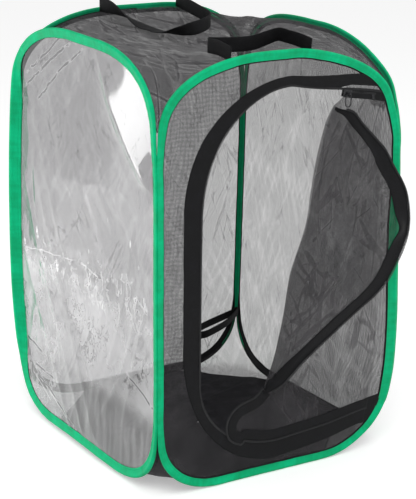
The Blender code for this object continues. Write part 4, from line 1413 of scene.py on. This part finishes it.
@dataclass
class DoorLeaf:
    """The unzipped leaf: the part that hangs and the corner folded back over it."""

    door: DoorShape
    rows: int = 150
    columns: int = 90
    tape_width: float = 0.0150
    flap_tape_width: float = 0.0255
    tape_half: float = 0.0007
    bulge: float = 0.0085
    blend_width: float = 0.0240

    def flap_lines(self) -> tuple[Array, Array]:
        """The fold and the outer edge of the folded corner, point for point from its top."""
        fold = smooth_through(self.door.crease, self.rows)
        edge = smooth_through(self.door.flap_edge, self.rows)
        return fold, edge

    def flap_grid(self, start: float = 0.0, lift: float = 0.0) -> Array:
        """Points of the folded corner.

        Args:
            start: Share of the way from the fold to the edge at which the grid starts.
            lift: Distance that the points stand out from the cloth.

        Returns:
            Rows down the fold by columns out to the edge.
        """
        fold, edge = self.flap_lines()
        down = np.linspace(0, 1, self.rows)[:, None]
        return self.on_flap(fold, edge, down, np.linspace(start, 1, self.columns)[None], lift)

    def on_flap(self, fold: Array, edge: Array, down: Array, across: Array, lift: Array | float) -> Array:
        """Points of the folded corner at shares of the way down and across it."""
        flat = fold[:, None] * (1 - across[..., None]) + edge[:, None] * across[..., None]
        width = np.linalg.norm(edge - fold, axis=1)[:, None]
        belly = np.sin(math.pi * np.clip(across, 0, 1) ** 1.4) ** 1.3 * self.bulge * eased(width, 0.01, 0.12)
        x, z = flat[..., 0], flat[..., 2]
        first = 0.0065 * np.exp(-(((x - 0.085) * 0.52 + (z - 0.395) * 0.85) / 0.012) ** 2) * eased(x, 0.05, 0.09)
        second = 0.0060 * np.exp(-(((x - 0.100) * 0.55 + (z - 0.300) * -0.83) / 0.013) ** 2)
        third = 0.0035 * clouds(down * 7 + across * 3, across * 4 - down * 2, 61)
        calm = eased(across, 0.02, 0.25) * eased(1 - across, 0.0, 0.16)
        out = belly + (first + second + third) * calm
        root = 0.0012 * (1 - eased(across, 0.0, 0.05))
        flat[..., 1] = flat[..., 1] - out - lift + root
        return flat

    def leaf_boundary(self) -> tuple[Array, Array, Array, Array]:
        """The leaf's left, right, upper and lower edges as places on the front panel."""
        fold = np.array([(x, z) for x, _, z in self.door.crease[:-1]])
        left = np.concatenate([fold, self.door.leaf_toe])
        left = smooth_through(padded(left), self.rows)[:, :2]
        chain = self.door.chain()
        foot = chain[(chain[:, 1] < 0.2) & (chain[:, 0] > left[-1, 0])]
        foot = np.concatenate([left[-1:], foot[foot[:, 0] > left[-1, 0] + 0.004]])
        lower = evenly(padded(foot), self.columns)[:, :2]
        across = np.linspace(left[0, 0], self.door.right, self.columns)
        under = np.array([self.door.chain_height(x) for x in across]) - 0.0050
        upper = np.stack([across, left[0, 1] + (under - left[0, 1]) * eased(across, 0.072, 0.089)], axis=1)
        right = np.stack([np.full(self.rows, self.door.right),
                          np.linspace(upper[-1, 1], lower[-1, 1], self.rows)], axis=1)
        return left, right, upper, lower

    def leaf_grid(self) -> Array:
        """Places of the leaf, filled in between its four edges."""
        left, right, upper, lower = self.leaf_boundary()
        down = np.linspace(0, 1, self.rows)[:, None, None]
        across = np.linspace(0, 1, self.columns)[None, :, None]
        corners = (
            upper[0] * (1 - down) * (1 - across) + upper[-1] * (1 - down) * across
            + lower[0] * down * (1 - across) + lower[-1] * down * across
        )
        return (
            left[:, None] * (1 - across) + right[:, None] * across
            + upper[None] * (1 - down) + lower[None] * down - corners
        )

    def build(self, net: bpy.types.Material, tape: bpy.types.Material, tooth: ZipTooth) -> None:
        """Make the leaf, its folded corner, and the tape and coil along their edges."""
        self.add_leaf(net, tape, tooth)
        self.add_flap(net, tape, tooth)

    def add_leaf(self, net: bpy.types.Material, tape: bpy.types.Material, tooth: ZipTooth) -> None:
        """The part of the leaf that hangs in the opening, with its lower tape."""
        shape = self.door.shape
        flat = self.leaf_grid()
        across = np.linspace(0, 1, self.columns)[None]
        folds = Folds(1.50, 0.045, 0.0030, 71, 0.7, 2.2)
        calm = eased(1 - across, 0.0, 0.15) * eased(across, 0.0, 0.1)
        away = folds.rise(flat[..., 0], flat[..., 1]) * calm
        points = shape.settled(shape.placed(Panel.FRONT, flat, away + 0.0002))
        leaf = cloth_object("door_leaf_net", points[::-1], flat[::-1])
        dress(leaf, net)
        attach(leaf, "door")
        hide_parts("door_mesh")

        left, _, _, lower = self.leaf_boundary()
        toe = left[int(self.rows * 0.70):]
        toe = toe[toe[:, 1] < 0.130]
        edge = np.concatenate([toe, lower[1:]])
        edge = evenly(padded(edge), 220)[:, :2]
        inner = self.door.beside(edge, self.tape_width)
        inner[:, 1] = np.maximum(inner[:, 1], edge[:, 1] * 0.2)
        strip = DoorFrame(self.door).band("leaf_tape", edge, inner, 0.0012, self.tape_half)
        dress(strip, tape)
        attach(strip, "door")
        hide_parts("door_tape")
        line = shape.settled(shape.placed(Panel.FRONT, self.door.beside(edge, -0.0016), 0.0010))
        coil = tooth.row("leaf_coil_row", line, outward=True)
        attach(coil, "door")
        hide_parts("door_coil")

    def add_flap(self, net: bpy.types.Material, tape: bpy.types.Material, tooth: ZipTooth) -> None:
        """The folded corner, with the zip tape and coil along its outer edge."""
        fold, edge = self.flap_lines()
        points = self.flap_grid()
        width = np.linalg.norm(edge - fold, axis=1)[:, None]
        share = np.linspace(0, 1, self.columns)[None]
        length = np.concatenate([[0.0], np.cumsum(np.linalg.norm(np.diff(fold, axis=0), axis=1))])[:, None]
        cloth = np.stack([width * share, np.broadcast_to(length, points.shape[:2])], axis=-1)
        flap = cloth_object("folded_corner_net", points[::-1], cloth[::-1])
        dress(flap, net)
        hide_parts("corner_mesh")
        self.bend(flap)

        down = np.linspace(0, 1, self.rows)[:, None]
        tape_width = self.flap_tape_width * (0.55 + 0.45 * eased(down, 0.0, 0.28)) * (1 - 0.35 * eased(down, 0.7, 0.95))
        begin = 1 - np.minimum(tape_width / np.maximum(width, 1e-4), 0.9)
        steps = np.array([0.0, 0.04, 0.15, 0.5, 0.85, 0.96, 1.0])
        rise = np.array([0.3, 0.9, 1.0, 1.0, 1.0, 0.9, 0.3])
        across = begin + (1 - begin) * steps[None]
        front = self.on_flap(fold, edge, down, across, 0.0013 + rise[None] * self.tape_half)
        back = self.on_flap(fold, edge, down, across, 0.0013 - rise[None] * self.tape_half)
        ring = np.concatenate([front, back[:, ::-1]], axis=1)
        around = np.concatenate([[0.0], np.cumsum(np.linalg.norm(np.diff(edge, axis=0), axis=1))])[:, None]
        spread = np.concatenate([steps, steps[::-1]])[None] * tape_width
        cloth = np.stack([np.broadcast_to(around, ring.shape[:2]), np.broadcast_to(spread, ring.shape[:2])], axis=-1)
        strip = cloth_object("folded_corner_tape", ring, cloth, closed=True)
        cap_ends(strip, self.rows, ring.shape[1])
        face_outwards(strip)
        dress(strip, tape)
        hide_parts("corner_tape")
        self.bend(strip)

        beyond = 1 + 0.0016 / np.maximum(width, 0.02)
        line = self.on_flap(fold, edge, down, beyond, 0.0013)[:, 0]
        coil = tooth.row("folded_corner_coil", line[3:-3], outward=True)
        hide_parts("corner_coil")
        self.bend(coil)

    def bend(self, piece: bpy.types.Object) -> None:
        """Bake the piece's placement into its mesh."""
        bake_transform(piece)


@dataclass
class TopAndFloor:
    """The net roof, the black floor and the net gussets, most of which ride on the hoops."""

    shape: CageShape
    roof_folds: tuple[Folds, ...] = (
        Folds(0.45, 0.032, 0.0050, 81, 0.8, 2.4),
        Folds(-0.75, 0.050, 0.0050, 82, 0.8, 2.0),
        Folds(1.30, 0.070, 0.0045, 83, 0.7, 2.0),
    )
    floor_folds: tuple[Folds, ...] = (
        Folds(0.35, 0.030, 0.0060, 85, 0.8, 2.6),
        Folds(1.10, 0.060, 0.0070, 86, 0.7, 2.2),
    )
    keep: float = 0.03

    def wedge(self, panel: Panel, reach: float, tight: float, rows: int = 70,
              columns: int = 150) -> tuple[Array, Array]:
        """Places of one quarter of a square, from a hoop to the middle.

        Args:
            panel: The hoop that the quarter touches.
            reach: Half of the square's width.
            tight: How strongly the columns crowd towards the corners, from 0 to 1.
            rows: Number of rows from the hoop inwards.
            columns: Number of columns along the hoop.

        Returns:
            The x and y of each point.
        """
        even = np.linspace(-1, 1, columns)
        along = even * (1 - tight) + np.sin(even * math.pi / 2) * tight
        inwards = np.linspace(0, 0.995, rows)[:, None]
        across = along[None] * (1 - inwards) * reach
        depth = -reach * (1 - inwards) * np.ones_like(across)
        turn = panel.value * math.pi / 2
        return across * math.cos(turn) - depth * math.sin(turn), across * math.sin(turn) + depth * math.cos(turn)

    def fold_with(self, piece: bpy.types.Object, panel: Panel) -> None:
        """Let a piece ride on a hoop, with a mesh of its own."""
        out = self.shape.placed(panel, np.array([0.0, 0.0]))
        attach(piece, panel.body)
        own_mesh(piece)

    def build(self, net: bpy.types.Material, floor: bpy.types.Material,
              corners: tuple[bpy.types.Material, bpy.types.Material]) -> None:
        """Make the roof, the floor and the gussets."""
        for panel in Panel:
            self.add_roof(panel, net)
            self.add_floor(panel, floor)
        self.add_gussets(*corners)

    def add_roof(self, panel: Panel, net: bpy.types.Material) -> None:
        """One quarter of the roof."""
        x, y = self.wedge(panel, self.shape.sheet_plane, 0.75)
        calm = eased(self.shape.sheet_plane - np.maximum(np.abs(x), np.abs(y)), 0.0, 0.040)
        corner = eased(np.abs(x) + np.abs(y), 0.37, 0.30)
        folds = sum(fold.rise(x, y) for fold in self.roof_folds)
        height = self.shape.roof_height(x, y) + (folds - 0.0030) * calm * (0.25 + 0.75 * corner)
        points = self.shape.settled(np.stack([x, y, height], axis=-1))
        piece = cloth_object(f"roof_net_{panel.body}", points, np.stack([x, y], axis=-1))
        dress(piece, net)
        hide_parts("roof_mesh")
        self.fold_with(piece, panel)

    def add_floor(self, panel: Panel, floor: bpy.types.Material) -> None:
        """One quarter of the floor, with its corners cut for the gussets."""
        x, y = self.wedge(panel, self.shape.half_width - 0.0022, 0.2, 50, 90)
        cut = self.shape.half_width - 0.0022 + self.shape.half_span - self.shape.foot.reach
        limit = np.minimum(1, cut / np.maximum(np.abs(x) + np.abs(y), 1e-9))
        x, y = x * limit, y * limit
        calm = eased(self.shape.half_width - np.maximum(np.abs(x), np.abs(y)), 0.002, 0.05)
        folds = np.maximum(sum(fold.rise(x, y) for fold in self.floor_folds), -0.0006)
        height = 0.0010 + (folds + 0.0006) * calm
        points = self.shape.settled(np.stack([x, y, height], axis=-1))
        piece = cloth_object(f"floor_cloth_{panel.body}", points, np.stack([x, y], axis=-1))
        dress(piece, floor)
        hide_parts("floor_panel")
        self.fold_with(piece, panel)

    def add_gussets(self, net: bpy.types.Material, dense: bpy.types.Material) -> None:
        """The nets that close the rounded lower corners, with a denser net at the front."""
        foot = self.shape.foot
        level = self.shape.half_span - foot.reach
        plane = self.shape.sheet_plane
        arc = evenly(np.concatenate([foot.arc()[::-1], np.zeros((36, 1))], axis=1), 46)[:, :2]
        along = np.concatenate([[level - 0.0030], level + arc[:, 0]])
        height = np.concatenate([[0.0020], self.shape.bottom + foot.rise - arc[:, 1]])
        height[1:] = self.shape.bottom + foot.drop(arc[:, 0])
        share = np.linspace(0, 1, 40)[None]
        for turns, name in enumerate(("back_right", "back_left", "front_left", "front_right")):
            x = plane * (1 - share) + along[:, None] * share
            y = along[:, None] * (1 - share) + plane * share
            z = np.broadcast_to(height[:, None], x.shape)
            pucker = clouds(along[:, None] * 40, share * 5, 91 + turns) * 0.0022 * np.sin(math.pi * share)
            angle = turns * math.pi / 2
            x, y = x + pucker, y + pucker
            cosine, sine = math.cos(angle), math.sin(angle)
            points = np.stack([x * cosine - y * sine, x * sine + y * cosine, z], -1)
            width = np.hypot(x[:, -1] - x[:, 0], y[:, -1] - y[:, 0])[:, None]
            span = np.concatenate([[0.0], np.cumsum(np.hypot(np.diff(along), np.diff(height)))])[:, None]
            cloth = np.stack([width * share, np.broadcast_to(span, x.shape)], axis=-1)
            piece = cloth_object(f"{name}_gusset_net", self.shape.settled(points), cloth)
            dress(piece, dense if name.startswith("front") else net)
            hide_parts(f"{name}_gusset")
            self.fold_gusset(piece, name)

    def fold_gusset(self, piece: bpy.types.Object, name: str) -> None:
        """Bake a listed gusset in place between its two hoops, or let the others ride on the back hoop."""
        span = self.shape.half_width
        near, far = span * 0.98, span * 0.50
        pairs = {
            "front_left": ("front", "left", (-far, -near, 0), (-near, -far, 0)),
            "front_right": ("front", "right", (far, -near, 0), (near, -far, 0)),
            "back_left": ("left", "back", (-near, far, 0), (-far, near, 0)),
        }
        if name in pairs:
            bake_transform(piece)
        else:
            self.fold_with(piece, Panel.BACK)


@dataclass
class Straps:
    """The webbing handles on the roof and the elastic loop in the rear corner."""

    shape: CageShape
    width: float = 0.020
    thickness: float = 0.0014
    loop_width: float = 0.012
    loop_height: float = 0.088
    front_points: tuple[tuple[float, float, float, float], ...] = (
        (-0.475, -1.00, 0.00, 0.0), (-0.450, -0.80, 0.05, 0.0), (-0.432, -0.66, 0.05, 0.0),
        (-0.400, -0.62, 0.05, 0.0), (-0.330, -0.66, 0.05, 0.0), (-0.220, -0.70, 0.05, 0.0),
        (-0.110, -0.72, 0.12, 0.0), (0.000, -0.735, 0.40, 0.1), (0.075, -0.75, 0.58, 0.2),
        (0.125, -0.78, 0.42, 0.2), (0.165, -0.85, 0.20, 0.1), (0.170, -1.00, 0.00, 0.0),
    )
    back_points: tuple[tuple[float, float, float, float], ...] = (
        (-0.330, 1.00, 0.00, 0.0), (-0.312, 0.93, 0.05, 0.0), (-0.290, 0.82, 0.08, 0.3),
        (-0.272, 0.66, 0.08, 0.7), (-0.262, 0.50, 0.08, 1.0), (-0.250, 0.36, 0.08, 1.0),
        (-0.232, 0.20, 0.08, 0.9), (-0.180, 0.12, 0.08, 0.5), (-0.110, 0.11, 0.10, 0.2),
        (-0.020, 0.13, 0.14, 0.0), (0.080, 0.18, 0.22, 0.0), (0.190, 0.27, 0.26, 0.0),
        (0.280, 0.40, 0.18, 0.0), (0.330, 0.66, 0.05, 0.0), (0.345, 1.00, 0.00, 0.0),
    )
    loop_points: tuple[tuple[float, float], ...] = (
        (1.00, 0.985), (0.90, 0.935), (0.70, 0.855), (0.50, 0.765), (0.385, 0.690), (0.370, 0.625),
        (0.430, 0.605), (0.560, 0.655), (0.750, 0.760), (0.900, 0.880), (1.00, 0.970),
    )

    def section(self, width: float) -> Array:
        """A flat closed section with softened edges: thin across, standing along its width."""
        half, thin = width / 2, self.thickness / 2
        return np.array([
            (-thin, -half * 0.94), (-thin * 0.4, -half), (thin * 0.4, -half), (thin, -half * 0.94), (thin, -half * 0.4),
            (thin, half * 0.4), (thin, half * 0.94), (thin * 0.4, half), (-thin * 0.4, half), (-thin, half * 0.94),
            (-thin, half * 0.4), (-thin, -half * 0.4),
        ])[:, ::-1]

    def ribbon(self, name: str, line: Array, width: float) -> bpy.types.Object:
        """A flat ribbon along (x, y, z, lean) points, standing on its edge where its lean is 0."""
        path = line[:, :3]
        along = np.gradient(path, axis=0)
        along /= np.linalg.norm(along, axis=1)[:, None]
        level = np.cross(along, (0.0, 0.0, 1.0))
        level /= np.linalg.norm(level, axis=1)[:, None]
        upright = np.cross(level, along)
        lean = line[:, 3:4]
        side = upright * np.cos(lean) + level * np.sin(lean)
        face = level * np.cos(lean) - upright * np.sin(lean)
        return swept(name, path, side, face, self.section(width))

    def handle_line(self, points: tuple[tuple[float, float, float, float], ...]) -> Array:
        """Path of a handle over the roof."""
        rows = []
        for across, along, rise, lean in points:
            x, y = across * self.shape.sheet_plane, along * self.shape.sheet_plane
            tilt = lean * math.pi / 2
            stand = self.width / 2 * math.cos(tilt) + self.thickness / 2 * math.sin(tilt)
            z = float(self.shape.roof_height(np.array(x), np.array(y))) + 0.0007 + stand + rise * self.width
            rows.append((x, y, z, tilt))
        line = smooth_through(rows, 150)
        line[:, :3] = self.shape.settled(line[:, :3])
        return line

    def build(self, webbing: bpy.types.Material, elastic: bpy.types.Material) -> None:
        """Make both handles and the loop."""
        folds = TopAndFloor(self.shape)
        for name, node, panel, points in (
            ("front_strap", "front_handle", Panel.FRONT, self.front_points),
            ("back_strap", "back_handle", Panel.BACK, self.back_points),
        ):
            strap = self.ribbon(name, self.handle_line(points), self.width)
            dress(strap, webbing)
            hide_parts(node)
            folds.fold_with(strap, panel)
        places = [(x * self.shape.sheet_plane, y * self.shape.sheet_plane, self.loop_height, 0.0)
                  for x, y in self.loop_points]
        loop = self.ribbon("elastic_loop", smooth_through(places, 120), self.loop_width)
        dress(loop, elastic)
        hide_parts("storage_loop")
        folds.fold_with(loop, Panel.BACK)


@dataclass
class Hardware:
    """The CAD's own slider, pull and end stop, which keep their shapes."""

    nodes: dict[str, bpy.types.Object]
    enamel: HardFinish = HardFinish("black_enamel", (0.010, 0.010, 0.012, 1), (0.060, 0.060, 0.064, 1), 0.4, 0.32)

    def build(self) -> None:
        """Give the metal pieces a worn enamel."""
        finish = self.enamel.material()
        for name in ("slider_body", "slider_pull", "zip_end_stop"):
            piece = self.nodes[name]
            piece.data.materials.clear()
            piece.data.materials.append(finish)
            LOG.info("%s keeps its CAD shape", name)


# ---------------------------------------------------------------- studio


@dataclass
class Studio:
    """White ground, soft lamps and the camera at the photograph's viewpoint."""

    place: tuple[float, float, float] = (-1.3426, -2.0541, 1.0160)
    heading: float = -33.58
    pitch: float = 16.98
    roll: float = 1.73
    focal_pixels: float = 1763.7
    centre: tuple[float, float] = (214.81, 252.73)
    picture: tuple[float, float] = (416.0, 499.0)
    sensor: float = 36.0

    def build(self) -> None:
        """Make the ground, the world, the lamps and the camera."""
        self.add_ground()
        self.add_world()
        self.add_lamp("key_lamp", (-1.1, -1.7, 2.3), 1.6, 30.0)
        self.add_lamp("side_lamp", (1.9, -0.9, 1.6), 1.4, 12.0)
        self.add_lamp("window_lamp", (-1.29, 1.00, 0.42), 0.58, 11.0, 0.82)
        self.add_camera()
        bpy.context.scene.view_settings.view_transform = "Standard"

    def add_ground(self) -> None:
        """The plain floor, a wide flat plane under the cage."""
        bpy.ops.object.select_all(action="DESELECT")
        bpy.ops.mesh.primitive_plane_add(size=24, location=(0, 0, -0.0005))
        ground = bpy.context.active_object
        ground.name = "studio_floor"
        ground.data.materials.append(StudioGround().material())

    def add_world(self) -> None:
        """Even white light from all round."""
        world = bpy.data.worlds.new("soft_studio")
        world.use_nodes = True
        background = world.node_tree.nodes["Background"]
        background.inputs["Color"].default_value = (1.0, 1.0, 1.0, 1.0)
        background.inputs["Strength"].default_value = 0.62
        paths = world.node_tree.nodes.new("ShaderNodeLightPath")
        white = world.node_tree.nodes.new("ShaderNodeBackground")
        white.inputs["Strength"].default_value = 1.0
        mixed = world.node_tree.nodes.new("ShaderNodeMixShader")
        link = world.node_tree.links.new
        link(paths.outputs["Is Camera Ray"], mixed.inputs[0])
        link(background.outputs[0], mixed.inputs[1])
        link(white.outputs[0], mixed.inputs[2])
        link(mixed.outputs[0], world.node_tree.nodes["World Output"].inputs["Surface"])
        bpy.context.scene.world = world

    def add_lamp(self, name: str, place: tuple[float, float, float], size: float, power: float,
                 height: float | None = None) -> None:
        """A soft lamp, square unless it has a height of its own, that faces the middle of the cage."""
        data = bpy.data.lights.new(name, "AREA")
        data.shape = "RECTANGLE"
        data.size, data.size_y = size, height or size
        data.energy = power
        lamp = bpy.data.objects.new(name, data)
        bpy.context.scene.collection.objects.link(lamp)
        lamp.location = place
        lamp.rotation_euler = (Vector((0, 0, 0.3)) - Vector(place)).to_track_quat("-Z", "Y").to_euler()

    def add_camera(self) -> None:
        """The camera, solved from the edges of the cage in the photograph."""
        heading, pitch, roll = (math.radians(angle) for angle in (self.heading, self.pitch, self.roll))
        forward = Vector((-math.sin(heading) * math.cos(pitch), math.cos(heading) * math.cos(pitch), -math.sin(pitch)))
        right = Vector((math.cos(heading), math.sin(heading), 0))
        upward = right.cross(forward)
        turned_right = right * math.cos(roll) + upward * math.sin(roll)
        turned_up = upward * math.cos(roll) - right * math.sin(roll)
        data = bpy.data.cameras.new("photo_camera")
        data.sensor_fit = "VERTICAL"
        data.sensor_height = self.sensor
        data.lens = self.focal_pixels * self.sensor / self.picture[1]
        data.shift_x = (self.picture[0] / 2 - self.centre[0]) / self.picture[1]
        data.shift_y = (self.centre[1] - self.picture[1] / 2) / self.picture[1]
        camera = bpy.data.objects.new("photo_camera", data)
        bpy.context.scene.collection.objects.link(camera)
        basis = Matrix((turned_right, turned_up, -forward)).transposed().to_4x4()
        camera.matrix_world = Matrix.Translation(self.place) @ basis
        bpy.context.scene.camera = camera


def main() -> None:
    """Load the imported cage, dress every piece of it and set the studio."""
    logging.basicConfig(level=logging.INFO, format="%(name)s: %(message)s")
    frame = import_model()
    bpy.ops.object.select_all(action="DESELECT")
    shape = CageShape()
    net = NetCloth("cage_net").material()
    wall_net = NetCloth("wall_net", thread=0.52, crease_scale=(60.0, 7.0, 1.0), crease_turns=(0.35, -0.40)).material()
    roof_net = NetCloth("roof_net", thread=0.46, hole_alpha=0.60, thread_alpha=0.94, crease_alpha=0.46).material()
    gusset_net = NetCloth("gusset_net", thread=0.42, hole_alpha=0.70, thread_alpha=0.94).material()
    door_net = NetCloth("door_net", thread=0.48, hole_alpha=0.42, thread_alpha=0.84, crease_alpha=0.26).material()
    tape = BlackWeave("zip_tape_weave").material()
    webbing = BlackWeave("webbing_weave", rib_pitch=0.0022, rib_depth=0.0007).material()
    elastic = BlackWeave("elastic_weave", rib_pitch=0.0009).material()
    floor = BlackWeave("floor_weave", base=(0.008, 0.0078, 0.0100, 1.0), worn=(0.046, 0.044, 0.050, 1.0),
                       rib_pitch=0.0010).material()
    steel = HardFinish("bare_spring_steel", (0.42, 0.42, 0.43, 1), (0.56, 0.56, 0.57, 1), 1.0, 0.34).material()
    tooth = ZipTooth(HardFinish("black_nylon", (0.003, 0.003, 0.004, 1), (0.014, 0.014, 0.017, 1), 0.0, 0.55))
    Hoops(shape).build(steel)
    SidePanels(shape).build(wall_net)
    door = DoorShape(shape)
    DoorFrame(door).build(net, tape, tooth)
    DoorLeaf(door).build(door_net, tape, tooth)
    TopAndFloor(shape).build(roof_net, floor, (net, gusset_net))
    Straps(shape).build(webbing, elastic)
    Hardware(frame["nodes"]).build()
    Studio().build()


if __name__ == "__main__":
    main()
